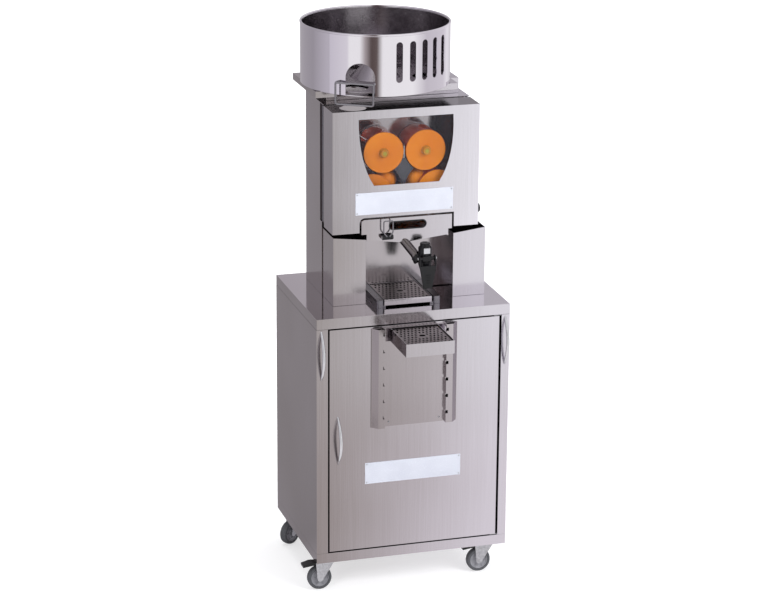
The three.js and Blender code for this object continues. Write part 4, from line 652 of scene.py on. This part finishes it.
def round_normals(piece):
    """Makes the wrapped wall shade as one smooth cylinder, inside and out."""
    mesh = piece.data
    centre = TO_FRAME @ Vector((BASKET_X, BASKET_Y, 0))
    normals = []
    for polygon in mesh.polygons:
        for index in polygon.vertices:
            out = mesh.vertices[index].co - centre
            out.z = 0
            out.normalize()
            along = polygon.normal.dot(out)
            normals.append(out if along > 0.9 else -out if along < -0.9 else polygon.normal)
    mesh.normals_split_custom_set([tuple(n) for n in normals])


def basket():
    """The round wall, its floor with the drop hole and its rolled rim."""
    wall = finished("basket_wall", basket_wall(), "cabinet", [basket_steel, satin_steel],
                    ["feed_basket"], weighted=False,
                    pick=lambda at, normal: int(hypot(at.x - BASKET_X, at.y - BASKET_Y) < BASKET_R - 1.2))
    round_normals(wall)
    z0, z1 = BASKET_Z0, BASKET_Z0 + 2
    plate = turned([(9.3, z0), (BASKET_MID, z0), (BASKET_MID, z1), (9.3, z1), (9.3, z0)], 96, BASKET_AXIS)
    drop = turned([(0, -9), (DROP_R, -9), (DROP_R, 9), (0, 9)], 64, moved(DROP_X, DROP_Y, z0))
    finished("basket_floor", carved(plate, drop), "cabinet", satin_steel)
    turns = [radians(-120 + 300 * i / RIM_STEPS) for i in range(RIM_STEPS + 1)]
    rim, inner = (arc(BASKET_R - RIM_INSET, BASKET_TOP - RIM_RADIUS, radius, turns)
                  for radius in (RIM_RADIUS, RIM_INNER))
    finished("basket_rim", turned([*rim, *reversed(inner), rim[0]], 144, BASKET_AXIS), "cabinet",
             basket_steel, weighted=False, angle=50)


def rotor():
    """The turning plate with its cone and six pockets, on a short shaft."""
    low, high = mm_box("feed_rotor")
    z1 = high.z - CONE_HEIGHT
    z0 = z1 - ROTOR_PLATE
    disc = turned([
        (0, low.z), (8.6, low.z), (9, low.z + 0.4), (9, BASKET_Z0 + 2.3), (18, BASKET_Z0 + 2.3), (18, z0),
        (ROTOR_R - 0.8, z0), (ROTOR_R, z0 + 0.8), (ROTOR_R, z1 - 0.8), (ROTOR_R - 0.8, z1), (78, z1),
        (74.5, z1 + 1), (72, z1 + 4), (20, z1 + 54.5), (16.5, z1 + 58), (12, z1 + 59.6), (0, z1 + CONE_HEIGHT),
    ], 128, BASKET_AXIS)
    orbit = hypot(DROP_X - BASKET_X, DROP_Y - BASKET_Y)
    start = atan2(DROP_Y - BASKET_Y, DROP_X - BASKET_X)
    places = arc(BASKET_X, BASKET_Y, orbit, [start + i * 2 * pi / POCKETS for i in range(POCKETS)])
    holes = [turned([(0, -2), (DROP_R, -2), (DROP_R, 8), (0, 8)], 64, moved(x, y, z0)) for x, y in places]
    finished("rotor_disc", carved(disc, *holes), "feed_rotor", satin_steel, ["feed_rotor"])


def guard():
    """The bent rod in front of the fruit exit."""
    turn = BASKET_AXIS @ Matrix.Rotation(radians(GUARD_TURN), 4, "Z")
    plane = -(BASKET_R + GUARD_OFF)
    inside = plane + GUARD_REACH
    z1, z0, w = BASKET_Z0 + 39, BASKET_Z0 - 24, GUARD_HALF
    path = bent([(-w, inside, z1), (-w, plane, z1), (-w, plane, z0), (w, plane, z0), (w, plane, z1),
                 (w, inside, z1)], 7)
    loop = rod([turn @ p for p in path], 2.9)
    bar = rod([turn @ Vector((-w, plane, z1)), turn @ Vector((w, plane, z1))], 2.8)
    wall_r = BASKET_R + 0.3
    wall = turned([(0, z0 - 9), (wall_r, z0 - 9), (wall_r, z1 + 90), (0, z1 + 90)], 144, BASKET_AXIS)
    finished("guard_rod", carved(loop, wall), "cabinet", wire_steel, ["basket_guard"], weighted=False)
    finished("guard_bar", bar, "cabinet", wire_steel, weighted=False)


# Handles and door fittings
HANDLE_RADIUS, HANDLE_ROOT, HANDLE_STEPS = 4.98, 4.4, 28
BLANK_PLATES = {
    # name: body, left, right, bottom, top, face of the sheet behind
    "hood_plate": ("hood", 150, 452, 1149, 1216, 112),
    "door_plate": ("door", 150, 450, 343, 410, 0),
}
RIVET_PROFILE = [(0, -2), (1.2, -1.9), (2.2, -1.3), (2.4, -1.1), (0, -1.1)]


def bow_handles():
    """Bows that swell towards their middle and run out thin on the sheet."""
    for node in ("left_push_handle", "right_push_handle", "door_handle"):
        low, high = mm_box(node)
        x, z0, span = (low.x + high.x) / 2, low.z + 0.6, high.z - low.z - 1.2
        swell = 4 * (low.y + 5 - HANDLE_ROOT)
        path, shares = [], []
        for i in range(HANDLE_STEPS + 1):
            t = i / HANDLE_STEPS
            path.append((x, HANDLE_ROOT + swell * t * (1 - t), z0 + span * t))
            shares.append(0.62 + 0.38 * sin(pi * t) ** 0.7)
        bm = rod(path, HANDLE_RADIUS, thickness=shares, resolution=8)
        cut = bmesh.ops.bisect_plane(bm, geom=bm.verts[:] + bm.edges[:] + bm.faces[:], dist=1e-4,
                                     plane_co=(0, -0.3, 0), plane_no=(0, 1, 0), clear_outer=True)
        edges = [e for e in cut["geom_cut"] if isinstance(e, bmesh.types.BMEdge)]
        bmesh.ops.edgeloop_fill(bm, edges=edges)
        bmesh.ops.recalc_face_normals(bm, faces=bm.faces)
        finished(node + "_bow", bm, BODY_OF[node], chrome, [node], weighted=False, angle=50)


def blank_plates():
    """The two bare enamelled plates, with a rivet at each corner."""
    for name, (body, x0, x1, z0, z1, face) in BLANK_PLATES.items():
        finished(name, slab(x0, x1, face - 1.2, face - 0.02, z0, z1, 0.4), body, plate_enamel)
        rivets = [turned(RIVET_PROFILE, 20, moved(x, face, z, ALONG_Y))
                  for x in (x0 + 5, x1 - 5) for z in (z0 + 5, z1 - 5)]
        finished(name + "_rivets", joined(*rivets), body, zinc, weighted=False)


def door_fittings():
    """Hinge pivots and the catch."""
    for node in ("lower_door_hinge", "upper_door_hinge"):
        copied(node + "_leaf", node, zinc, 0.3)
    copied("door_catch_body", "door_catch", black_abs, 0.4)


# Perforated grates
GRATE_COLUMNS, GRATE_ROWS = 12, 8
GRATE_MARGIN_X, GRATE_MARGIN_Y, GRATE_THICKNESS = 9, 12, 0.7
HOLE_LENGTH, HOLE_WIDTH = 13, 5.6
# Finger slot, and the space about its middle without holes
FINGER_LENGTH, FINGER_WIDTH, CLEAR_X, CLEAR_Y = 19, 15, 15, 14


def perforated(node):
    """A tray's loose plate: staggered oblong holes and a slot for a fingertip."""
    low, high = mm_box(node)
    middle_x, middle_y = (low.x + high.x) / 2, (low.y + high.y) / 2
    pitch_x = (high.x - low.x - 2 * GRATE_MARGIN_X) / (GRATE_COLUMNS - 1)
    pitch_y = (high.y - low.y - 2 * GRATE_MARGIN_Y) / (GRATE_ROWS - 1)
    oblong = slot_points(0, 0, HOLE_LENGTH, HOLE_WIDTH, 5)
    holes = [slot_points(middle_x, middle_y, FINGER_LENGTH, FINGER_WIDTH)]
    for row in range(GRATE_ROWS):
        for column in range(GRATE_COLUMNS - row % 2):
            x = low.x + GRATE_MARGIN_X + (column + row % 2 / 2) * pitch_x
            y = low.y + GRATE_MARGIN_Y + row * pitch_y
            if abs(x - middle_x) > CLEAR_X or abs(y - middle_y) > CLEAR_Y:
                holes.append([(x + v, y + u) for u, v in oblong])
    plate = cut_sheet(low, high, holes, GRATE_THICKNESS, high.z - GRATE_THICKNESS / 2)
    finished(node + "_plate", plate, BODY_OF[node], grate_steel, [node])


# Juice tank, spout, tap and clip
TAP_X, TAP_Y = 355, 76
SPOUT_TOP, SPOUT_END = Vector((300, 130, 1063)), Vector((339, 86, 1008))
SPOUT_WAY = (SPOUT_END - SPOUT_TOP).normalized()
SPOUT_TILT = SPOUT_WAY.to_track_quat("Z", "Y").to_matrix().to_4x4()
SPOUT_BORE, SPOUT_RADIUS, SPOUT_BEAD = 11, 13.25, 13.9
HAND_SLOT = (312, 1109.5, 115, 24.4)
# Strainer: columns and rows of holes, the first hole from the corner, pitches and the hole's radius
STRAINER_COLUMNS, STRAINER_ROWS = 25, 11
STRAINER_START, STRAINER_PITCH, STRAINER_HOLE = (14, 12), (9.4, 8.4), 2.4
TAP_PROFILE = [
    (9, 971.6), (10.4, 971), (11, 971.8), (11, 985), (16.2, 985), (17.4, 986.2), (20, 995.4), (20, 1004),
    (18.9, 1005), (18.9, 1007.4), (20, 1008.4), (20, 1045.4), (19, 1047.2), (15.6, 1050.6), (15, 1051.6),
    (15, 1059), (13.6, 1060.7), (6, 1061), (5.6, 1060), (0, 1060),
]
SOCKET_PROFILE = [
    (13.4, -13), (16.4, -13), (17, -12.4), (17, -5), (18.6, -4), (18.6, 4), (13.4, 4), (13.4, -13),
]
PIN_PROFILE = mirrored([(0, -29.9), (3.2, -29.9), (4.7, -29.2), (5, -28)])
PIN_PLACE, PIN_CHROME = (TAP_X, 56, 1017), 27.6
LEVER_RIBS, LEVER_RIB_TOP, LEVER_RIB_PITCH = 4, 968, 8
CLIP_X, CLIP_HALF, CLIP_FOOT = 247, 14.3, 1078
GRIP_LEFT, GRIP_RIGHT, GRIP_RINGS, GRIP_PITCH = 230, 264, 7, 4.4


def tank():
    """The tank's sheet, its spout, the rubber edge of the hand slot and the strainer."""
    copied("tank_sheet", "juice_tank", panel_steel, 0.5)
    start, end = SPOUT_TOP + SPOUT_WAY * 4, SPOUT_END + SPOUT_WAY * 1.5
    length = (end - start).length
    tube = turned([
        (SPOUT_BORE, 0), (SPOUT_RADIUS, 0), (SPOUT_RADIUS, length * 0.72), (SPOUT_BEAD, length * 0.74),
        (SPOUT_BEAD, length * 0.8), (SPOUT_RADIUS, length * 0.82), (SPOUT_RADIUS, length), (SPOUT_BORE, length),
        (SPOUT_BORE, 0)], 48, moved(*start, SPOUT_TILT))
    finished("spout_tube", tube, "juice_tank", spout_steel, weighted=False)
    rim = rod([(x, 113, z) for x, z in slot_points(*HAND_SLOT, 12)], 1.9, closed=True)
    finished("hand_slot_edge", rim, "juice_tank", slot_rubber, weighted=False)
    low, high = mm_box("tank_strainer")
    (left, front), (pitch_x, pitch_y) = STRAINER_START, STRAINER_PITCH
    circle = [2 * pi * i / 10 for i in range(10)]
    holes = [arc(low.x + left + column * pitch_x + (row % 2) * pitch_x / 2, low.y + front + row * pitch_y,
                 STRAINER_HOLE, circle)
             for row in range(STRAINER_ROWS) for column in range(STRAINER_COLUMNS - row % 2)]
    plate = cut_sheet(low, high, holes, 2, (low.z + high.z) / 2)
    finished("strainer_plate", plate, "juice_tank", lit_top_steel, ["tank_strainer"])


def tap():
    """The barrel with its socket on the spout, the cross pin, the bright tab and the ribbed lever."""
    yoke = slab(TAP_X - 14, TAP_X + 14, 51.2, TAP_Y, 1009.2, 1024.8, 1.4)
    housing = joined(turned(TAP_PROFILE, 64, moved(TAP_X, TAP_Y, 0)),
                     turned(SOCKET_PROFILE, 48, moved(*SPOUT_END, SPOUT_TILT)), yoke)
    finished("tap_housing", housing, "juice_tank", black_abs, ["tap_body"])
    finished("tap_pin", turned(PIN_PROFILE, 32, moved(*PIN_PLACE, ALONG_X)), "juice_tank",
             [black_abs, chrome], pick=lambda at, normal: int(abs(at.x - TAP_X) > PIN_CHROME))
    tab = joined(slab(344.5, 364.5, 53.6, 55.4, 1032, 1049, 0.5),
                 slab(344.5, 364.5, 53.6, 66, 1047.4, 1049.2, 0.5))
    finished("tap_tab", tab, "juice_tank", bright_plate)
    ribs = []
    for i in range(LEVER_RIBS):
        half, z = 9 - i * 1.2, LEVER_RIB_TOP - i * LEVER_RIB_PITCH
        ribs.append(slab(TAP_X - half, TAP_X + half, 42, 43.4, z, z + 2.4, 0.5))
    finished("tap_lever_arm", joined(from_cad("tap_lever", 1.1), *ribs), "tap_lever", black_abs, ["tap_lever"])


def clip():
    """The wire clip and its ringed grip."""
    low, high = mm_box("clip_wire")
    y, z0, z1 = (low.y + high.y) / 2, CLIP_FOOT, high.z - 2
    left, right = CLIP_X - CLIP_HALF, CLIP_X + CLIP_HALF
    path = bent([(CLIP_X - 4, y, z0 + 4), (left, y, z0 + 16), (left, y, z1), (right, y, z1),
                 (right, y, z0 + 16), (CLIP_X + 4, y, z0 + 4)], 5)
    finished("clip_rod", rod(path, 1.98), "tank_clip", wire_steel, ["clip_wire"], weighted=False)
    grip = [(2.3, GRIP_LEFT), (6.6, GRIP_LEFT), (7.6, GRIP_LEFT + 0.8)]
    for i in range(GRIP_RINGS):
        at = GRIP_LEFT + 3.2 + i * GRIP_PITCH
        grip += [(7.9, at - 1.3), (7.9, at + 1.3), (7.1, at + 1.8), (7.1, at + 2.6)]
    grip = grip[:-2] + [(7.6, GRIP_RIGHT - 0.8), (6.6, GRIP_RIGHT), (2.3, GRIP_RIGHT), (2.3, GRIP_LEFT)]
    finished("clip_grip", turned(grip, 40, moved(0, 104, CLIP_FOOT, ALONG_X)), "tank_clip", slot_rubber,
             ["clip_roller"], weighted=False)


# Hood fittings, drive and screws
HINGE_X, HINGE_Y, HINGE_KNUCKLES = 85, 229, 12
KNOB_Y, KNOB_Z = 140, 1138
KNOB_PROFILE = [
    (4.9, 532.3), (11, 532.3), (13.2, 533), (14, 534.6), (14, 540.6), (13.2, 542.8), (11.4, 544.2), (9, 544.3),
    (8, 543.6), (0, 543.6),
]
GLAND_X, GLAND_Z = 478, 920
GLAND_PROFILE = [
    (6.6, 412.3), (10.4, 412.3), (11, 413), (11, 420.4), (10.2, 421.2), (9.4, 422), (9.4, 428), (8.4, 430),
    (5.2, 430.2),
]
COVER_SCREWS = [(x, 419, z) for x in (104, 306, 508) for z in (1259, 1442)]
BRACKET_SCREWS = [(x, -2.3, 536) for x in (222, 379)]


def hood_fittings():
    """The window pane, the locking knob and the knuckles of the hinge."""
    copied("window_pane", "hood_window", window_clear, 0.4)
    low, _ = mm_box("hood_knob")
    grip = turned([(0, low.x), (4.9, low.x), *KNOB_PROFILE], 48, moved(0, KNOB_Y, KNOB_Z, ALONG_X))
    bridge = slab(543, 544.2, KNOB_Y - 1.6, KNOB_Y + 1.6, KNOB_Z - 9, KNOB_Z + 9, 0.5)
    finished("hood_knob_grip", joined(grip, bridge), "hood_knob", black_abs, ["hood_knob"])
    low, high = mm_box("hood_hinge")
    pitch = (high.z - low.z) / HINGE_KNUCKLES
    knuckles = []
    for i in range(HINGE_KNUCKLES):
        z0 = low.z + i * pitch
        z1 = z0 + pitch - 0.8
        knuckles.append(turned([(0, z0), (3.2, z0), (3.95, z0 + 0.7), (3.95, z1 - 0.7), (3.2, z1), (0, z1)], 28,
                               moved(HINGE_X, HINGE_Y, 0)))
    leaf = slab(HINGE_X - 1, HINGE_X + 1, HINGE_Y, 249.7, low.z, high.z, 0.4)
    finished("hinge_barrel", joined(*knuckles, leaf), "cabinet", gear_steel, ["hood_hinge"])


def drive():
    """Wedge and blade in front of the plate, shafts, bearings and motor behind it, and the cord's gland."""
    copied("wedge", "knife_block", wedge_grey, 0.8, 50)
    copied("blade", "knife_blade", chrome, 0.12)
    for name in DRUMS:
        copied(name + "_gear_shaft", name + "_shaft", gear_steel, 0.4, 40)
    copied("bearing_flange", "bearing_plate", bearing_brass, 0.4, 50)
    copied("motor", "gear_motor", motor_paint, 0.8, 50)
    low, _ = mm_box("power_inlet")
    gland = turned([(5, low.y), (6.6, low.y), *GLAND_PROFILE, (5, low.y)], 40,
                   moved(GLAND_X, 0, GLAND_Z, ALONG_Y))
    finished("cord_gland", gland, "cabinet", black_abs, ["power_inlet"])


def screw_heads(places, turn, radius):
    """Domed heads with a small socket, at places on one face."""
    profile = [(0, -1.9), (0.9, -1.9), (1.1, -1.2), (1.3, -1.9), (radius * 0.7, -1.7), (radius, -0.6),
               (radius, 0), (0, 0)]
    return joined(*[turned(profile, 20, moved(*place, turn)) for place in places])


def screws():
    """Screws of the rear cover and of the tray bracket."""
    cover = screw_heads(COVER_SCREWS, ALONG_Y @ Matrix.Rotation(pi, 4, "X"), 3.2)
    finished("cover_screws", cover, "cabinet", zinc, weighted=False)
    bracket = screw_heads(BRACKET_SCREWS, ALONG_Y, 2.8)
    finished("bracket_screws", bracket, "door", zinc, weighted=False)


# Casters
CASTERS = {
    # name: swivel axis x, y, wheel's heading in degrees, brake pedal
    "front_left": (46, 46, 180, True), "front_right": (554, 46, 180, True),
    "rear_left": (46, 426, 214, False), "rear_right": (554, 426, 195, False),
}
WHEEL_TRAIL, WHEEL_RADIUS, BOLT_OFF = 26, 37.5, 26.5
TYRE_PROFILE = mirrored([
    (27.4, -9.6), (28.2, -11.2), (33.6, -11.4), (35.6, -10.2), (36.9, -7.2), (37.45, -3), (WHEEL_RADIUS, 0),
])
HUB_PROFILE = mirrored([
    (5.4, -9.4), (9.5, -9.4), (10.3, -8.6), (10.8, -6.4), (13, -5.4), (22.5, -5.4), (24.6, -6.6), (25.6, -9.2),
    (27.5, -9.4),
])
RACE_PROFILE = [(18, 90.9), (24.9, 90.9), (25.4, 92), (25.4, 94.6), (24.4, 96.2), (18, 96.6), (18, 90.9)]
BOLT_PROFILE = [(0, 93.6), (4.6, 93.6), (5, 94.2), (5, 96.9), (0, 96.9)]


def wheel(name, axle):
    """The tread, and the ribbed hub inside it."""
    finished(name + "_tyre", turned([*TYRE_PROFILE, TYRE_PROFILE[0]], 72, axle), name + "_wheel", tyre_rubber,
             [name + "_wheel"], weighted=False)
    hub = turned([*HUB_PROFILE, HUB_PROFILE[0]], 56, axle)
    ribs = []
    for i in range(6):
        rib = slab(10.5, 24.4, -0.9, 0.9, -8.2, 8.2, 0.4)
        rib.transform(axle @ Matrix.Rotation(pi * i / 3, 4, "Z"))
        ribs.append(rib)
    finished(name + "_hub", joined(hub, *ribs), name + "_wheel", hub_nylon)


def casters():
    """Swivel casters: wheel, fork with hexagonal axle ends, ball race, plate bolts and brake pedal."""
    for name, (x, y, heading, brake) in CASTERS.items():
        place = moved(x, y, 0, Matrix.Rotation(radians(heading), 4, "Z"))
        axle = place @ moved(WHEEL_TRAIL, 0, WHEEL_RADIUS, ALONG_Y)
        wheel(name, axle)
        fork = from_cad(name + "_fork", 0.5, 40)
        caps = [turned([(0, s * 17.3), (4.4, s * 17.2), (6.2, s * 16.4), (6.6, s * 16), (0, s * 16)], 6, axle)
                for s in (-1, 1)]
        finished(name + "_fork_steel", joined(fork, *caps), name + "_swivel", zinc, [name + "_fork"])
        finished(name + "_race", turned(RACE_PROFILE, 56, moved(x, y, 0)), name + "_swivel", zinc,
                 weighted=False)
        bolts = [turned(BOLT_PROFILE, 6, moved(x + i, y + j, 0))
                 for i in (-BOLT_OFF, BOLT_OFF) for j in (-BOLT_OFF, BOLT_OFF)]
        finished(name + "_plate_bolts", joined(*bolts), "cabinet", zinc)
        if brake:
            copied(name + "_pedal", name + "_brake_pedal", black_abs, 0.9, 30)


# Floor, room and lamps. ROOM is what polished steel sees, as shares of a full turn that starts at the
# left: pale walls, a darker side towards the camera and a dim corner behind the machine's left.
ROOM = [
    (0.00, "#D9D5DE"), (0.085, "#E9E6EC"), (0.092, "#FFFFFF"), (0.138, "#FFFFFF"), (0.160, "#B5ADAD"),
    (0.186, "#5E5250"), (0.212, "#6A5E5C"), (0.235, "#FFFFFF"), (0.37, "#FFFFFF"), (0.44, "#D4D0D6"),
    (0.56, "#DDD9DF"), (0.60, "#F4F2F5"), (0.68, "#C4C0C6"),
    (0.77, "#B4B0B5"), (0.90, "#A8A4AA"), (0.985, "#C6C2CA"),
]
FLOOR_RADIUS = 40
PHOTO_WIDTH, SENSOR_WIDTH, FOCAL_PIXELS = 780, 36, 2640.8


def room_tone(tree, vector):
    """The room's colour in a direction."""
    turn = add(tree, "TexGradient", {"Vector": vector}, gradient_type="RADIAL").outputs["Fac"]
    ramp = add(tree, "ValToRGB", {"Fac": turn})
    for i, (place, tone) in enumerate(ROOM):
        element = ramp.color_ramp.elements[i] if i < 2 else ramp.color_ramp.elements.new(place)
        element.position = place
        element.color = colour(tone)
    return ramp


def seen_plainly(tree, path):
    """1 where the camera looks at the backdrop, straight or through the pane."""
    return add(tree, "Math", (path.outputs["Is Camera Ray"], path.outputs["Is Transmission Ray"]),
               operation="MAXIMUM")


def studio_floor():
    """Pale floor: it keeps the machine's shadow, and its white comes from the camera's own rays."""
    material = bpy.data.materials.new("pale studio floor")
    material.use_nodes = True
    tree = material.node_tree
    tree.nodes.clear()
    path = add(tree, "LightPath")
    place = add(tree, "TexCoord").outputs["Object"]
    far = add(tree, "VectorMath", {0: place}, operation="LENGTH").outputs["Value"]
    white = add(tree, "MapRange", (far, 0.9, 3.5, 0.55, 1))
    level = add(tree, "Math", (seen_plainly(tree, path), white), operation="MULTIPLY")
    glow = add(tree, "Emission", {"Color": (1, 1, 1, 1), "Strength": level})
    matt = add(tree, "BsdfDiffuse", {"Color": colour("#C4C4C6")})
    lit = add(tree, "AddShader", {0: glow, 1: matt})
    # Steel at the front sees a paler floor near the machine
    before = add(tree, "SeparateXYZ", {"Vector": place}).outputs["Y"]
    front = add(tree, "MapRange", (before, -0.12, -0.26, 0, 1))
    near = add(tree, "MapRange", (far, 1.2, 2.4, 1, 0))
    pale = add(tree, "Math", (front, near), operation="MULTIPLY")
    tone = add(tree, "Mix", {0: pale, 6: room_tone(tree, place), 7: colour("#F6F2F4")},
               data_type="RGBA").outputs[2]
    room = add(tree, "Emission", {"Color": tone, "Strength": 1})
    out = add(tree, "MixShader", {0: path.outputs["Is Glossy Ray"], 1: lit, 2: room})
    add(tree, "OutputMaterial", {"Surface": out})
    bm = bmesh.new()
    bmesh.ops.create_circle(bm, cap_ends=True, segments=96, radius=FLOOR_RADIUS)
    mesh = as_mesh(bm, "studio_floor")
    mesh.materials.append(material)
    floor = bpy.data.objects.new("studio_floor", mesh)
    link(floor)


def studio_world():
    """Even soft light all round, white to the camera and the room to polished steel."""
    world = bpy.data.worlds.new("studio")
    world.use_nodes = True
    bpy.context.scene.world = world
    tree = world.node_tree
    tree.nodes.clear()
    path = add(tree, "LightPath")
    plain = add(tree, "Mix", {0: seen_plainly(tree, path), 6: (0.62, 0.62, 0.63, 1), 7: (1, 1, 1, 1)},
                data_type="RGBA").outputs[2]
    way = add(tree, "TexCoord").outputs["Generated"]
    tone = add(tree, "Mix", {0: path.outputs["Is Glossy Ray"], 6: plain, 7: room_tone(tree, way)},
               data_type="RGBA").outputs[2]
    back = add(tree, "Background", {"Color": tone, "Strength": 1})
    add(tree, "OutputWorld", {"Surface": back})


def softbox(name, place, aim, size, power):
    """A soft lamp that steel doesn't mirror, because the room already stands for it."""
    lamp = bpy.data.lights.new(name, "AREA")
    lamp.shape, lamp.size, lamp.size_y, lamp.energy = "RECTANGLE", *size, power
    obj = bpy.data.objects.new(name, lamp)
    obj.location = place
    obj.rotation_euler = (Vector(aim) - Vector(place)).to_track_quat("-Z", "Y").to_euler()
    obj.visible_glossy = False
    link(obj)


def camera():
    """The photograph's view, without a shift: the closest one to 20 corners of the machine."""
    yaw, pitch, roll = (radians(a) for a in (16.921, 17.564, 0.414))
    lens = bpy.data.cameras.new("camera")
    lens.sensor_width = SENSOR_WIDTH
    lens.lens = FOCAL_PIXELS * SENSOR_WIDTH / PHOTO_WIDTH
    lens.clip_end = 200
    obj = bpy.data.objects.new("camera", lens)
    turn = Euler((pi / 2 - pitch, 0, -yaw)).to_matrix() @ Matrix.Rotation(roll, 3, "Z")
    obj.matrix_world = Matrix.Translation((-2.2160, -7.2621, 3.2624)) @ turn.to_4x4()
    link(obj)
    bpy.context.scene.camera = obj


sheet_metal()
press_drums()
basket()
rotor()
guard()
bow_handles()
blank_plates()
door_fittings()
perforated("cup_tray_grate")
perforated("drip_tray_grate")
tank()
tap()
clip()
hood_fittings()
drive()
screws()
casters()

studio_floor()
studio_world()
softbox("front right softbox", (2.4, -3.4, 3.4), (0, 0, 0.9), (2.2, 2.2), 150)
softbox("front left softbox", (-3.2, -3, 2.6), (0, 0, 0.8), (1.8, 2.4), 60)
softbox("top softbox", (0.2, 0.4, 4.2), (0, 0, 1), (2.4, 2.4), 90)
camera()
bpy.context.scene.view_settings.view_transform = "Standard"

bpy.context.view_layer.update()
